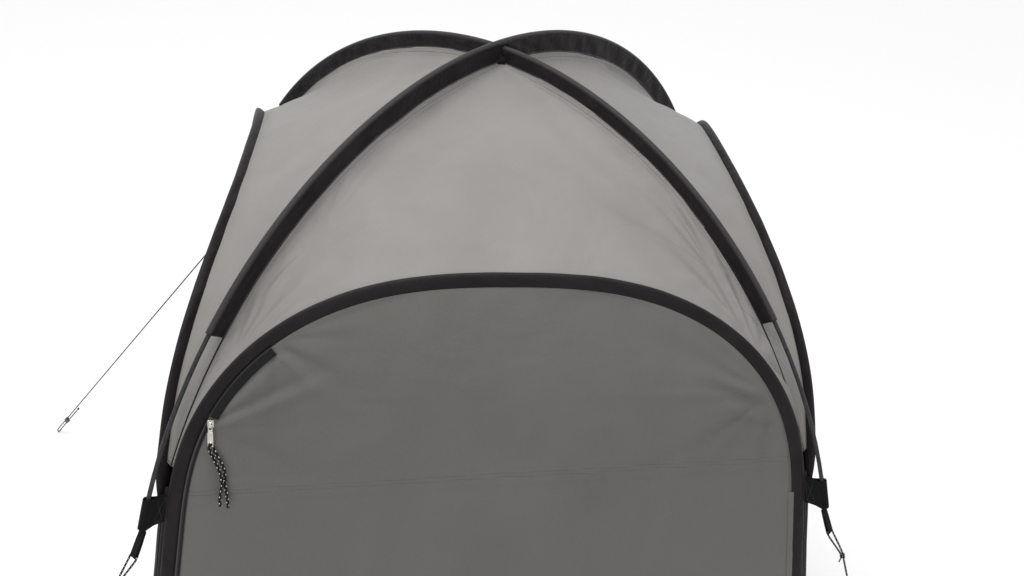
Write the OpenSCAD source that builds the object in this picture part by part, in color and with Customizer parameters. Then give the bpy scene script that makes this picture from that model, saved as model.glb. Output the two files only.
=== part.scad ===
// Upright dome-roofed shelter: four spring-steel wall hoops in black bindings,
// two crossed roof poles in sleeves, grey fabric walls, roof and zipped door, guy lines.
// The origin is on the ground at the middle of the floor. The door faces -Y.

/* [Body] */
// Half-span of a wall hoop at the shoulder, to the middle of its wire
hoop_half = 590; // [540:5:640]
// Height of the shoulder, where the hoops start to arch
shoulder_h = 1360; // [1250:10:1450]
// Rise of the arch above the shoulder
arch_rise = 465; // [440:5:520]
// Squareness of the arch, where 2 is an ellipse
arch_power = 2.65; // [2:0.05:2.8]
// How far the top of each arch bows in from the plane of its wall
arch_bow = 40; // [20:2:50]
// Inward lean of every wall, as a share of height
wall_lean = 0.1; // [0.06:0.01:0.12]
// Thickness of the fabric panels
cloth_t = 2.4; // [2:0.2:3]

/* [Hoops] */
// Radius of the spring-steel wire
wire_r = 2; // [1.5:0.25:2.5]
// Width of the folded binding over the wire
binding_w = 26; // [24:1:30]
// Thickness of the folded binding
binding_t = 13; // [12:0.5:14]

/* [Roof poles] */
// Height of the lower pole where the two poles cross
pole_apex_h = 2080; // [2040:5:2120]
// Height of the pole feet
pole_foot_h = 1396; // [1380:2:1410]
// Distance of the pole feet from the middle of the shelter
pole_foot_r = 892; // [885:1:900]
// How far the upper pole passes above the lower one
pole_lift = 14; // [12.5:0.5:18]
// Radius of the pole
pole_r = 4.25; // [4:0.25:4.5]
// Sections in each pole
pole_sections = 5; // [3:2:7]
// Distance of the sleeve ends from the middle of the shelter
sleeve_end_r = 735; // [650:5:760]
// Width of the sleeve, from the pole to the hip seam
sleeve_w = 30; // [24:1:32]

/* [Door] */
// Gap between the door leaf and the binding round it
door_gap = 1.5; // [1.2:0.1:2.5]
// Height of the zip slider
slider_h = 1576; // [1500:2:1580]
// Distance from the hoop wire to the middle of the slider
slider_in = 22; // [21:1:30]
// Half-span at which the covered stretch of zip ends on the arch
flap_end_x = 425; // [350:5:450]

/* [Guy lines] */
// Diameter of the guy line
cord_d = 3; // [2.5:0.5:4]
// Width of the webbing band under the walls
band_w = 40; // [35:1:50]
// Thickness of the webbing band under the walls
band_t = 3; // [2.5:0.5:4]

/* [Hidden] */
$fn = 48;

// Wall planes: local x along the wall, local y up the slope, local z outwards.
lean_a = atan(wall_lean);
post_step = 20;
base_half = hoop_half + wall_lean * shoulder_h;
wall_y = base_half + post_step;
slope_shoulder = shoulder_h / cos(lean_a);
slope_rise = arch_rise / cos(lean_a);
leg_slope = wall_lean * cos(lean_a);
leg_a = atan(leg_slope);
bow_start = 1568;
foot_h = 17;
corner_r = 45;
arch_steps = 28;
corner_steps = 4;

// Pole arcs: circles through the crossing and both feet.
function arc_r(apex) = (pow(pole_foot_r, 2) + pow(apex - pole_foot_h, 2)) / (2 * (apex - pole_foot_h));
r_lower = arc_r(pole_apex_h);
r_upper = arc_r(pole_apex_h + pole_lift);
foot_a = asin(pole_foot_r / r_lower);
foot_a_upper = asin(pole_foot_r / r_upper);
tube_in = 5.7;
tube_out = 7;
cover_half = 20;
seam_drop = sleeve_w + 1;

// Corner directions, anticlockwise from the front left: angle about Z.
fl = -135;
fr = -45;
rr = 45;
rl = 135;

black = [0.13, 0.12, 0.125];
grey = [0.60, 0.59, 0.57];
dark_grey = [0.42, 0.41, 0.40];

// ---- outline of a hoop -------------------------------------------------

function half_at(s) = base_half - leg_slope * s;

// The arch: a superellipse whose legs keep leaning inwards.
function arch_pt(t) =
    let (w = slope_rise * pow(abs(sin(t)), 2 / arch_power))
    [(hoop_half - leg_slope * w) * sign(cos(t)) * pow(abs(cos(t)), 2 / arch_power), slope_shoulder + w];

function corner_pt(side, a) =
    let (cy = foot_h + corner_r, cx = half_at(cy) - corner_r / cos(leg_a))
    [side * (cx + corner_r * cos(a)), cy + corner_r * sin(a)];

// Closed loop, anticlockwise seen from outside: right corner, arch, left corner.
hoop_loop = concat(
    [for (i = [0:corner_steps]) corner_pt(1, -90 + i * (90 + leg_a) / corner_steps)],
    [[half_at(600), 600]],
    [for (i = [0:arch_steps]) arch_pt(i * 180 / arch_steps)],
    [[-half_at(600), 600]],
    [for (i = [corner_steps:-1:0]) corner_pt(-1, -90 + i * (90 + leg_a) / corner_steps)]);

// Outward normal of a closed line at each of its points.
function unit(v) = v / norm(v);
function loop_normal(p, i) =
    let (n = len(p), d = unit(unit(p[(i + 1) % n] - p[i]) + unit(p[i] - p[(i + n - 1) % n])))
    [d[1], -d[0]];
function offset_loop(p, off) = [for (i = [0:len(p) - 1]) p[i] + off * loop_normal(p, i)];

// The arch bows inwards above the slider. A point of a wall's plane goes to its curved surface.
function bow(s) = arch_bow * pow(max(0, s - bow_start) / (slope_shoulder + slope_rise - bow_start), 2);
function bowed(p) = [p[0], p[1], p[2] - bow(p[1])];

// Stretch of the left side of the arch between two heights or to a half-span.
function left_arch(off, t1, t2, n) =
    [for (i = [0:n]) let (t = t1 + (t2 - t1) * i / n, d = unit(arch_pt(min(t + 0.2, 180)) - arch_pt(t - 0.2)))
        arch_pt(t) + off * [d[1], -d[0]]];

// ---- placing ------------------------------------------------------------

module in_wall(turn) {
    rotate([0, 0, turn]) translate([0, -wall_y, 0]) rotate([90 - lean_a, 0, 0]) children();
}

// Local x is the distance from the middle, local y is up, local z is sideways.
module in_diagonal(turn) {
    rotate([0, 0, turn]) rotate([90, 0, 0]) children();
}

// Sweeps a closed section round a closed planar loop.
module loop_sweep(loop, section) {
    m = len(section);
    n = len(loop);
    pts = [for (i = [0:n - 1]) let (c = loop[i], d = loop_normal(loop, i))
        for (s = section) bowed([c[0] + d[0] * s[0], c[1] + d[1] * s[0], s[1]])];
    faces = [for (i = [0:n - 1], j = [0:m - 1])
        let (a = i * m, b = ((i + 1) % n) * m, k = (j + 1) % m)
        each [[a + j, a + k, b + k], [a + j, b + k, b + j]]];
    polyhedron(points = pts, faces = faces, convexity = 6);
}

// Closed shell over two matching lines of points, between two distances from the wall's plane.
module curved_sheet(line_a, line_b, from_z, to_z) {
    n = len(line_a);
    function side(z, p) = bowed([p[0], p[1], z]);
    pts = [for (i = [0:n - 1]) each [side(from_z, line_a[i]), side(from_z, line_b[i]),
        side(to_z, line_b[i]), side(to_z, line_a[i])]];
    faces = [for (i = [0:n - 2], k = [0:3]) let (a = 4 * i + k, b = 4 * i + (k + 1) % 4)
        each [[a, b, b + 4], [a, b + 4, a + 4]]];
    e = 4 * (n - 1);
    polyhedron(points = pts, faces = concat(faces, [[3, 2, 1, 0], [e, e + 1, e + 2, e + 3]]), convexity = 6);
}

// A panel that fills a symmetrical outline: its right side from the foot up, against its left side.
module curved_panel(outline) {
    half = (len(outline) - 1) / 2;
    tip = 0.5;
    top = outline[half];
    right = concat([for (i = [0:half - 1]) outline[i]], [top + [tip, 0]]);
    left = concat([for (i = [0:half - 1]) outline[2 * half - i]], [top - [tip, 0]]);
    curved_sheet(left, right, -cloth_t / 2, cloth_t / 2);
}

// ---- foot ----------------------------------------------------------------

band_out = wall_y + binding_t / 2 + 2;

module ground_band() {
    color(black) linear_extrude(height = band_t) difference() {
        square(2 * band_out, center = true);
        square(2 * (band_out - band_w), center = true);
    }
}

loop_len = 60;
loop_w = 25;
eyelet_r = 6;

module peg_loops() {
    reach = band_out * sqrt(2) + 0.5;
    color(black) for (turn = [fl, fr, rr, rl]) rotate([0, 0, turn]) linear_extrude(height = band_t)
        difference() {
            union() {
                translate([reach, -loop_w / 2]) square([loop_len - loop_w / 2, loop_w]);
                translate([reach + loop_len - loop_w / 2, 0]) circle(d = loop_w);
            }
            translate([reach + loop_len - loop_w / 2, 0]) circle(r = eyelet_r);
        }
}

// ---- hoops ----------------------------------------------------------------

wire_in = 5;
slit = 160;
lining = 2.1;

function wire_section() = [for (i = [0:7]) [wire_in + wire_r * cos(45 * i), wire_r * sin(45 * i)]];

// Folded strip: an open ellipse with its slit towards the panel.
function binding_section() =
    let (a = binding_w / 2, b = binding_t / 2)
    concat(
        [for (i = [-4:4]) [a * cos(slit * i / 4), b * sin(slit * i / 4)]],
        [for (i = [3:-1:-3]) [(a - lining) * cos(slit * i / 3), (b - lining) * sin(slit * i / 3)]]);

module hoop_wire(turn) {
    color("silver") in_wall(turn) loop_sweep(hoop_loop, wire_section());
}

module hoop_binding(turn) {
    color(black) in_wall(turn) loop_sweep(hoop_loop, binding_section());
}

// ---- walls and roof --------------------------------------------------------

tuck = 8;

module wall_panel(turn) {
    color(dark_grey) in_wall(turn) curved_panel(offset_loop(hoop_loop, -tuck));
}

roof_u = 24;
roof_v = 10;
roof_gap = 4;
hip_side = 1.6;
hip_decay = 5;
hip_r = r_lower - seam_drop;
hip_base = pole_apex_h - r_lower;
roof_apex = [0, 0, hip_base + hip_r];
roof_start_t = 9;

// A point of the front arch in the whole shelter's frame, just above the binding.
function roof_foot(u) =
    let (t = 180 - roof_start_t - u * (180 - 2 * roof_start_t), d = unit(arch_pt(t - 0.2) - arch_pt(t + 0.2)),
        p = arch_pt(t) + (binding_w / 2 + roof_gap) * [-d[1], d[0]], b = bow(p[1]))
    [p[0], -wall_y + p[1] * sin(lean_a) + b * cos(lean_a), p[1] * cos(lean_a) - b * sin(lean_a)];

// The hip seam under the pole, from the foot of the panel (v = 0) to the apex (v = 1).
function hip_pt(side, v) =
    let (foot = roof_foot(side < 0 ? 0 : 1), a0 = acos(min(1, (foot[2] - hip_base) / hip_r)), a = a0 * (1 - v),
        s = hip_r * sin(a) / sqrt(2))
    [side * max(s - hip_side, 0), -s - hip_side, hip_base + hip_r * cos(a)];

// Panel surface: straight lines from the arch to the apex, lifted near the hips to meet the seams.
function roof_pt(u, v) =
    let (base = roof_foot(u), top = roof_apex + [0, -2 * hip_side, 0],
        chord_l = roof_foot(0) * (1 - v) + top * v, chord_r = roof_foot(1) * (1 - v) + top * v)
    base * (1 - v) + top * v
        + pow(1 - u, hip_decay) * (hip_pt(-1, v) - chord_l)
        + pow(u, hip_decay) * (hip_pt(1, v) - chord_r);

module roof_panel(turn) {
    inside = [0, 0, shoulder_h - 200];
    nu = roof_u + 1;
    v_top = 0.985;
    outer = [for (j = [0:roof_v], i = [0:roof_u]) roof_pt(i / roof_u, v_top * j / roof_v)];
    inner = [for (p = outer) p + cloth_t * unit(inside - p)];
    half = len(outer);
    function grid(base, flip) = [for (j = [0:roof_v - 1], i = [0:roof_u - 1])
        let (a = base + j * nu + i, b = a + 1, c = a + nu, d = c + 1)
        each flip ? [[a, b, d], [a, d, c]] : [[a, d, b], [a, c, d]]];
    rim = concat([for (i = [0:roof_u]) i], [for (j = [1:roof_v]) j * nu + roof_u],
        [for (i = [roof_u - 1:-1:0]) roof_v * nu + i], [for (j = [roof_v - 1:-1:1]) j * nu]);
    n = len(rim);
    walls = [for (k = [0:n - 1]) let (a = rim[k], b = rim[(k + 1) % n])
        each [[a, b, half + b], [a, half + b, half + a]]];
    color(grey) rotate([0, 0, turn])
        polyhedron(points = concat(outer, inner), faces = concat(grid(0, false), grid(half, true), walls),
            convexity = 6);
}

// ---- roof poles ------------------------------------------------------------

// Revolves a section about the centre of a pole's circle. Angles are from the crossing.
module pole_arc(turn, r, from_a, to_a) {
    in_diagonal(turn) translate([0, pole_foot_h - r * cos(asin(pole_foot_r / r)), 0])
        rotate([0, 0, 90 - to_a]) rotate_extrude(angle = to_a - from_a, $fn = 240)
            translate([r, 0]) children();
}

bore_r = 2.3;
section_gap_a = 0.01;
ferrule_a = 1.6;
tip_a = 0.88;
shock_r = 1.4;

module pole(turn, r) {
    a = asin(pole_foot_r / r);
    step = 2 * a / pole_sections;
    color("dimgray") for (i = [0:pole_sections - 1])
        pole_arc(turn, r, -a + i * step + section_gap_a, -a + (i + 1) * step - section_gap_a) difference() {
            circle(r = pole_r);
            circle(r = bore_r);
        }
}

module pole_ferrules() {
    color("silver") for (p = [[fr, r_lower], [fl, r_upper]]) {
        a = asin(pole_foot_r / p[1]);
        step = 2 * a / pole_sections;
        for (i = [1:pole_sections - 1])
            pole_arc(p[0], p[1], -a + i * step - ferrule_a, -a + i * step + ferrule_a) difference() {
                circle(r = pole_r + 1.2);
                circle(r = pole_r + 0.1);
            }
    }
}

module shock_cords() {
    color("white") for (p = [[fr, r_lower], [fl, r_upper]]) {
        a = asin(pole_foot_r / p[1]) - 0.05;
        pole_arc(p[0], p[1], -a, a) circle(r = shock_r);
    }
}

// A round plug on each pole end, past the last section.
module pole_tips() {
    color(black) for (p = [[fl, r_upper], [fr, r_lower], [rr, r_upper], [rl, r_lower]]) {
        a = asin(pole_foot_r / p[1]);
        pole_arc(p[0], p[1], a + 0.02, a + tip_a) circle(r = pole_r + 0.6);
    }
}

module sleeve_section() {
    difference() {
        union() {
            circle(r = tube_out);
            translate([-sleeve_w, -cloth_t / 2]) square([sleeve_w - tube_in, cloth_t]);
        }
        circle(r = tube_in);
    }
}

module sleeve(turn, r) {
    color(black) pole_arc(turn, r, asin(cover_half / r), asin(sleeve_end_r / r)) sleeve_section();
}

module crossing_cover() {
    a = asin(cover_half / r_upper) - 0.02;
    color(black) pole_arc(fl, r_upper, -a, a) difference() {
        circle(r = tube_out);
        circle(r = tube_in);
    }
}

// ---- pockets and ribbons -----------------------------------------------------

pocket_h = 58;
pocket_floor = 5;
pocket_bore_r = 6.2;
pocket_out_r = 9;
pocket_t = 4.6;
pocket_reach = 41;

// Local x is outwards, local y is up along the pole, at the foot of a pole.
module at_foot(turn, r) {
    a = asin(pole_foot_r / r);
    in_diagonal(turn) translate([pole_foot_r, pole_foot_h, 0]) rotate([0, 0, 90 - a]) children();
}

module pocket(turn, r) {
    below = 20;
    color([0.05, 0.05, 0.05]) at_foot(turn, r) rotate([90, 0, 0]) translate([0, 0, -pocket_h + below]) {
        difference() {
            linear_extrude(height = pocket_h) union() {
                circle(r = pocket_out_r);
                translate([-pocket_reach, -pocket_t / 2]) square([pocket_reach, pocket_t]);
            }
            translate([0, 0, -1]) cylinder(r = pocket_bore_r, h = pocket_h + 1 - pocket_floor);
        }
    }
}

ribbon_w = 15;
ribbon_len = 48;
ribbon_t = 1.3;
ribbon_eye = 2;
ribbon_tilt = 25;
ribbon_r = 896;
ribbon_z = 1372;

module ribbon(turn) {
    color([0.05, 0.05, 0.05]) in_diagonal(turn) translate([ribbon_r, ribbon_z, -ribbon_w / 2])
        rotate([0, 0, ribbon_tilt]) linear_extrude(height = ribbon_w) difference() {
            union() {
                translate([0, -ribbon_len]) circle(r = ribbon_eye + ribbon_t);
                translate([-ribbon_eye - ribbon_t, -ribbon_len]) square([2 * (ribbon_eye + ribbon_t), ribbon_len]);
            }
            translate([0, -ribbon_len]) circle(r = ribbon_eye);
            translate([-ribbon_eye, -ribbon_len]) square([2 * ribbon_eye, ribbon_len - 4]);
        }
}

// ---- guy lines ----------------------------------------------------------------

// Routes in each diagonal plane: distance from the middle, height, sideways.
knot = [952, 1290, 0];
eye = [916, 1329, 0];
peg_near = [1470, 6, 0];
peg_far = [2036, 6, 0];
strand_gap = 9;

function dir_down(peg) = unit(peg - knot);
function side_in(peg) = let (d = dir_down(peg)) [d[1], -d[0], 0];

// Loop through the ribbon, the long run to the ground, round the peg and back up past the runner.
function guy_route(peg, back) =
    let (d = dir_down(peg), s = side_in(peg), b = strand_gap / 2, turn_at = peg - b * d)
    concat(
        [knot + [-1, 2, 2.5], eye + [5, -6, 9], eye + [1, -1, 8.6], eye, eye + [1, -1, -8.6], eye + [5, -6, -9],
            knot + [-1, 2, -2.5], knot + 8 * d + [0, 0, -1]],
        [for (f = [0.1, 0.3, 0.5, 0.7, 0.9]) knot + (turn_at - knot) * f],
        [turn_at, turn_at + b * d + s * b * 0.6, turn_at + b * d + s * (b * 1.4),
            turn_at + s * 2 * b],
        [for (f = [0.25, 0.5, 0.75, 1]) turn_at + s * 2 * b - d * back * f]);

function cross_x(a, b) = [a[1] * b[2] - a[2] * b[1], a[2] * b[0] - a[0] * b[2], a[0] * b[1] - a[1] * b[0]];
function tangent(p, i) = unit(p[min(i + 1, len(p) - 1)] - p[max(i - 1, 0)]);
function carry(v, t) = unit(v - (v * t) * t);
function side_axes(p, i = 0, v = [0.3, 0.2, 0.9]) =
    i >= len(p) ? [] : let (w = carry(v, tangent(p, i))) concat([w], side_axes(p, i + 1, w));

module tube(p, r, sides) {
    ax = side_axes(p);
    n = len(p);
    pts = [for (i = [0:n - 1]) let (t = tangent(p, i), a = ax[i], b = cross_x(t, a))
        for (k = [0:sides - 1]) p[i] + r * (cos(360 * k / sides) * a + sin(360 * k / sides) * b)];
    rings = [for (i = [0:n - 2], k = [0:sides - 1]) let (a = i * sides, b = a + sides, m = (k + 1) % sides)
        each [[a + k, b + k, b + m], [a + k, b + m, a + m]]];
    polyhedron(points = pts, faces = concat(rings, [[for (k = [0:sides - 1]) k]],
        [[for (k = [sides - 1:-1:0]) (n - 1) * sides + k]]), convexity = 6);
}

tail = 230;

module guy(turn, peg) {
    color(black) in_diagonal(turn) tube(guy_route(peg, tail), cord_d / 2, 8);
}

corners = [[fl, peg_near], [fr, peg_near], [rr, peg_near], [rl, peg_far]];

// Frame on a guy line: local z runs up the line, local x is towards the returning strand.
module on_line(turn, peg, up) {
    d = dir_down(peg);
    at = peg - (strand_gap / 2) * d - up * d;
    in_diagonal(turn) translate(at) rotate([0, 0, atan2(-d[1], -d[0])]) rotate([0, 90, 0]) rotate([0, 0, 90])
        children();
}

module guy_knots() {
    knot_r = 4.6;
    color(black) for (c = corners) {
        in_diagonal(c[0]) translate(knot) sphere(r = knot_r, $fn = 24);
        on_line(c[0], c[1], tail + 2) translate([-strand_gap, 0, 0]) sphere(r = knot_r - 0.6, $fn = 24);
    }
}

runner_up = 95;
runner_len = 24;
runner_bore = cord_d / 2 + 0.5;

module runner(turn, peg) {
    color([0.1, 0.1, 0.1]) on_line(turn, peg, runner_up) linear_extrude(height = runner_len) difference() {
        union() {
            for (x = [0, -strand_gap]) translate([x, 0]) circle(r = 4);
            translate([-strand_gap, -4]) square([strand_gap, 8]);
        }
        for (x = [0, -strand_gap]) translate([x, 0]) circle(r = runner_bore);
    }
}

// ---- door ------------------------------------------------------------------------

door_in = binding_w / 2 + door_gap;

module door_panel() {
    color(dark_grey) in_wall(0) curved_panel(offset_loop(hoop_loop, -door_in));
}

// Angle of the arch at a height or a half-span on the left side.
slider_s = slider_h / cos(lean_a);
slider_t = 180 - asin(pow((slider_s - slope_shoulder) / slope_rise, arch_power / 2));
flap_t = 180 - acos(pow(flap_end_x / (hoop_half - leg_slope * slope_rise * 0.8), arch_power / 2));

tape_w = 7;
tape_t = 1;

// Strip between two offsets of the hoop on its left leg and arch.
module left_strip(off_a, off_b, t_end, from_z) {
    foot = 70;
    curved_sheet(
        concat([[-half_at(foot) - off_b, foot]], left_arch(off_b, 180, t_end, 12)),
        concat([[-half_at(foot) - off_a, foot]], left_arch(off_a, 180, t_end, 12)),
        from_z, from_z + tape_t);
}

module door_zip_tape() {
    color(black) in_wall(0) left_strip(-door_in, -door_in - tape_w, slider_t, cloth_t / 2 + 0.1);
}

// Sewn inside the binding, behind the edge of the door.
module frame_zip_tape() {
    behind = -cloth_t / 2 - 1.6;
    color(black) in_wall(0) left_strip(-binding_w / 2 - 0.3, -binding_w / 2 - 10, flap_t, behind - tape_t);
}

flap_w = 14;
flap_t_mm = 2;

module zip_flap() {
    from_t = slider_t - 2.2;
    color(black) in_wall(0) curved_sheet(left_arch(-door_in - flap_w, from_t, flap_t, 10),
        left_arch(-door_in, from_t, flap_t, 10), cloth_t / 2 + 0.1, cloth_t / 2 + 0.1 + flap_t_mm);
}

slider_at = left_arch(-slider_in, slider_t, slider_t, 1)[0];
slider_len = 16;
slider_w = 11;
slider_z = cloth_t / 2 + tape_t + 0.4;
slider_t_mm = 5;
bail_z = slider_z + slider_t_mm + 2.2;
pivot_r = 0.9;

// A rounded block with two ears that hold the pivot of the puller.
module zip_slider() {
    color("silver") in_wall(0) translate([slider_at[0], slider_at[1], 0]) {
        translate([0, 0, slider_z]) linear_extrude(height = slider_t_mm) union() {
            translate([-slider_w / 2, -slider_len / 2 + 3]) square([slider_w, slider_len - 3]);
            translate([0, -slider_len / 2 + slider_w / 2]) circle(d = slider_w);
        }
        for (side = [-1, 1]) translate([side * 3, -2.5, slider_z + slider_t_mm]) translate([-0.8, 0, 0])
            cube([1.6, 5, 4.5]);
        translate([-3, 0, bail_z]) rotate([0, 90, 0]) cylinder(r = pivot_r, h = 6);
    }
}

puller_len = 42;
puller_w = 11;
puller_t = 1.6;
puller_hole = 3.2;
puller_eye = pivot_r + 0.1;

module zip_puller() {
    neck = 4;
    color("silver") in_wall(0) translate([slider_at[0], slider_at[1], bail_z]) {
        difference() {
            union() {
                translate([-neck / 2 + 0.1, 0, 0]) rotate([0, 90, 0]) cylinder(r = 2, h = neck - 0.2);
                translate([-neck / 2 + 0.1, -12, -puller_t / 2]) cube([neck - 0.2, 12, puller_t]);
                translate([-puller_w / 2, -puller_len + puller_w / 2, -puller_t / 2])
                    cube([puller_w, puller_len - 14, puller_t]);
                translate([0, -puller_len + puller_w / 2, -puller_t / 2]) cylinder(d = puller_w, h = puller_t);
            }
            translate([-puller_w, 0, 0]) rotate([0, 90, 0]) cylinder(r = puller_eye, h = 2 * puller_w);
            translate([0, -puller_len + puller_w / 2, -5]) cylinder(r = puller_hole, h = 10);
        }
    }
}

// Doubled cord through the hole of the puller, knotted near its end.
pull_cord_d = 4.4;
pull_route = [[15.5, -162, 1.6], [14.5, -151, 1.4], [15.5, -140, 1.2], [17.5, -128, 1.8], [19, -118, 2.8],
    [19, -109, 3], [17, -98, 2.4], [13.5, -87, 1.9], [9, -75, 1.4], [4.5, -64, 1], [0.5, -54, 1.8], [-1.9, -46, 3.2],
    [-1.8, -40.4, 3.6], [-1, -37.6, 2.6], [0, -37, 0], [1, -37.6, -2.6], [1.8, -40.4, -3.6], [4, -46, -3],
    [8, -54, -0.6], [13, -64, 0.6], [18, -75, 0.4], [21.5, -87, -0.6], [23.4, -98, -1.4], [23, -109, -2],
    [23.2, -118, -1.8], [24.8, -128, -0.4], [26.5, -140, 0.8], [28, -152, 1.2], [28.5, -165, 1.5]];

module puller_cord() {
    lift = 0.4;
    color(black) in_wall(0) translate([slider_at[0], slider_at[1], bail_z - lift])
        tube(pull_route, pull_cord_d / 2, 8);
}

module puller_knot() {
    color(black) in_wall(0) translate([slider_at[0] + 21, slider_at[1] - 113, bail_z]) sphere(r = 6, $fn = 24);
}

ground_band();
peg_loops();
hoop_wire(0);  // hoop_wire_front
hoop_wire(90);  // hoop_wire_right
hoop_wire(180);  // hoop_wire_rear
hoop_wire(270);  // hoop_wire_left
hoop_binding(0);  // hoop_binding_front
hoop_binding(90);  // hoop_binding_right
hoop_binding(180);  // hoop_binding_rear
hoop_binding(270);  // hoop_binding_left
wall_panel(90);  // wall_right
wall_panel(180);  // wall_rear
wall_panel(270);  // wall_left
roof_panel(0);  // roof_front
roof_panel(90);  // roof_right
roof_panel(180);  // roof_rear
roof_panel(270);  // roof_left
pole(fr, r_lower);  // pole_lower
pole(fl, r_upper);  // pole_upper
pole_ferrules();
pole_tips();
shock_cords();
sleeve(fl, r_upper);  // sleeve_front_left
sleeve(fr, r_lower);  // sleeve_front_right
sleeve(rr, r_upper);  // sleeve_rear_right
sleeve(rl, r_lower);  // sleeve_rear_left
crossing_cover();
pocket(fl, r_upper);  // pocket_front_left
pocket(fr, r_lower);  // pocket_front_right
pocket(rr, r_upper);  // pocket_rear_right
pocket(rl, r_lower);  // pocket_rear_left
ribbon(fl);  // ribbon_front_left
ribbon(fr);  // ribbon_front_right
ribbon(rr);  // ribbon_rear_right
ribbon(rl);  // ribbon_rear_left
guy(fl, peg_near);  // guy_front_left
guy(fr, peg_near);  // guy_front_right
guy(rr, peg_near);  // guy_rear_right
guy(rl, peg_far);  // guy_rear_left
guy_knots();
runner(fl, peg_near);  // runner_front_left
runner(fr, peg_near);  // runner_front_right
runner(rr, peg_near);  // runner_rear_right
runner(rl, peg_far);  // runner_rear_left
door_panel();
door_zip_tape();
frame_zip_tape();
zip_flap();
zip_slider();
zip_puller();
puller_cord();
puller_knot();
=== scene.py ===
# Upright dome shelter: cloth, webbing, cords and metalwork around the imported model.
# Lengths are in metres. Turn 0 is the door side; turns go round the shelter in degrees.
import math

import bpy
import numpy as np
from mathutils import Matrix, Vector


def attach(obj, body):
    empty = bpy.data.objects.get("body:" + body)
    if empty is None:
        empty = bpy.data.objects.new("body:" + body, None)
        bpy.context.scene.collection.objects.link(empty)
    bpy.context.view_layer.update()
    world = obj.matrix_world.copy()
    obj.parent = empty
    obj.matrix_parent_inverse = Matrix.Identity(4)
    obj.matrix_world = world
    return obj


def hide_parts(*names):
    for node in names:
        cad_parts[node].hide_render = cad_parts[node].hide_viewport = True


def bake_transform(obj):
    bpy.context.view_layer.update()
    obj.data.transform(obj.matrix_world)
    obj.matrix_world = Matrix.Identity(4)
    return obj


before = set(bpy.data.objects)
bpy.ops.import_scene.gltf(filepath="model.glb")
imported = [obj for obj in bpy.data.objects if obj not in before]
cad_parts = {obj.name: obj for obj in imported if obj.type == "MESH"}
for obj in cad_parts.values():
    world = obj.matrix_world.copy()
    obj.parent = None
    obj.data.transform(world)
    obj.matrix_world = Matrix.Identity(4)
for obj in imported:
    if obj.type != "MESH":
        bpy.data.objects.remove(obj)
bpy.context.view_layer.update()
bpy.ops.object.select_all(action="DESELECT")
scene = bpy.context.scene

# ---- camera, light and floor -------------------------------------------------


def add_camera():
    yaw, pitch, roll = 0.1864, -0.3654, 0.0996
    ahead = Vector((math.sin(yaw) * math.cos(pitch), math.cos(yaw) * math.cos(pitch), math.sin(pitch)))
    flat_right = Vector((math.cos(yaw), -math.sin(yaw), 0))
    flat_up = flat_right.cross(ahead)
    right = math.cos(roll) * flat_right + math.sin(roll) * flat_up
    up = -math.sin(roll) * flat_right + math.cos(roll) * flat_up
    bpy.ops.object.camera_add()
    camera = bpy.context.object
    camera.matrix_world = Matrix.Translation((-0.1880, -2.3758, 2.9253)) @ Matrix(
        (right, up, -ahead)).transposed().to_4x4()
    camera.data.lens = 41.114
    camera.data.sensor_width = 36
    camera.data.shift_x, camera.data.shift_y = -0.1034, -0.1967
    camera.data.clip_end = 100
    scene.camera = camera


def add_area(name, at, aim, size, watts):
    bpy.ops.object.light_add(type="AREA", location=at)
    lamp = bpy.context.object
    lamp.name = name
    lamp.data.shape = "DISK"
    lamp.data.size = size
    lamp.data.energy = watts
    lamp.rotation_mode = "QUATERNION"
    lamp.rotation_quaternion = (Vector(aim) - Vector(at)).to_track_quat("-Z", "Y")


add_camera()
scene.view_settings.view_transform = "Standard"

# ---- materials -----------------------------------------------------------------


def material(name, **surface):
    made = bpy.data.materials.new(name)
    made.use_nodes = True
    shader = made.node_tree.nodes["Principled BSDF"]
    for socket, value in surface.items():
        shader.inputs[socket.replace("_", " ")].default_value = value
    return made, shader


def add(made, kind, props=None, **inputs):
    """A node whose inputs are numbers, colours or other nodes' sockets. i0 to i9 mean an input by its number."""
    node = made.node_tree.nodes.new("ShaderNode" + kind)
    for key, value in (props or {}).items():
        setattr(node, key, value)
    for key, value in inputs.items():
        numbered = len(key) == 2 and key[0] == "i" and key[1].isdigit()
        socket = node.inputs[int(key[1]) if numbered else key.replace("_", " ")]
        if isinstance(value, bpy.types.NodeSocket):
            made.node_tree.links.new(value, socket)
        else:
            socket.default_value = value
    return node


def math_node(made, operation, a, b=0.0, c=0.0):
    return add(made, "Math", {"operation": operation}, i0=a, i1=b, i2=c).outputs[0]


def noise(made, where, scale, detail=3.0, distortion=0.0, stretch=None):
    if stretch:
        where = add(made, "Mapping", Vector=where, Scale=stretch).outputs[0]
    return add(made, "TexNoise", Vector=where, Scale=scale, Detail=detail,
               Distortion=distortion).outputs["Fac"]


def ramp(made, fac, low, high, from_colour, to_colour):
    node = add(made, "ValToRGB", Fac=fac)
    for stop, place, colour in zip(node.color_ramp.elements, (low, high), (from_colour, to_colour)):
        stop.position = place
        stop.color = (*colour, 1)
    return node.outputs["Color"]


def mix(made, fac, a, b, blend="MIX"):
    node = add(made, "Mix", {"data_type": "RGBA", "blend_type": blend})
    for number, value in ((0, fac), (6, a), (7, b)):
        if isinstance(value, bpy.types.NodeSocket):
            made.node_tree.links.new(value, node.inputs[number])
        else:
            node.inputs[number].default_value = value if number == 0 else (*value, 1)
    return node.outputs[2]


def link(made, socket, target):
    made.node_tree.links.new(socket, target)


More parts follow.
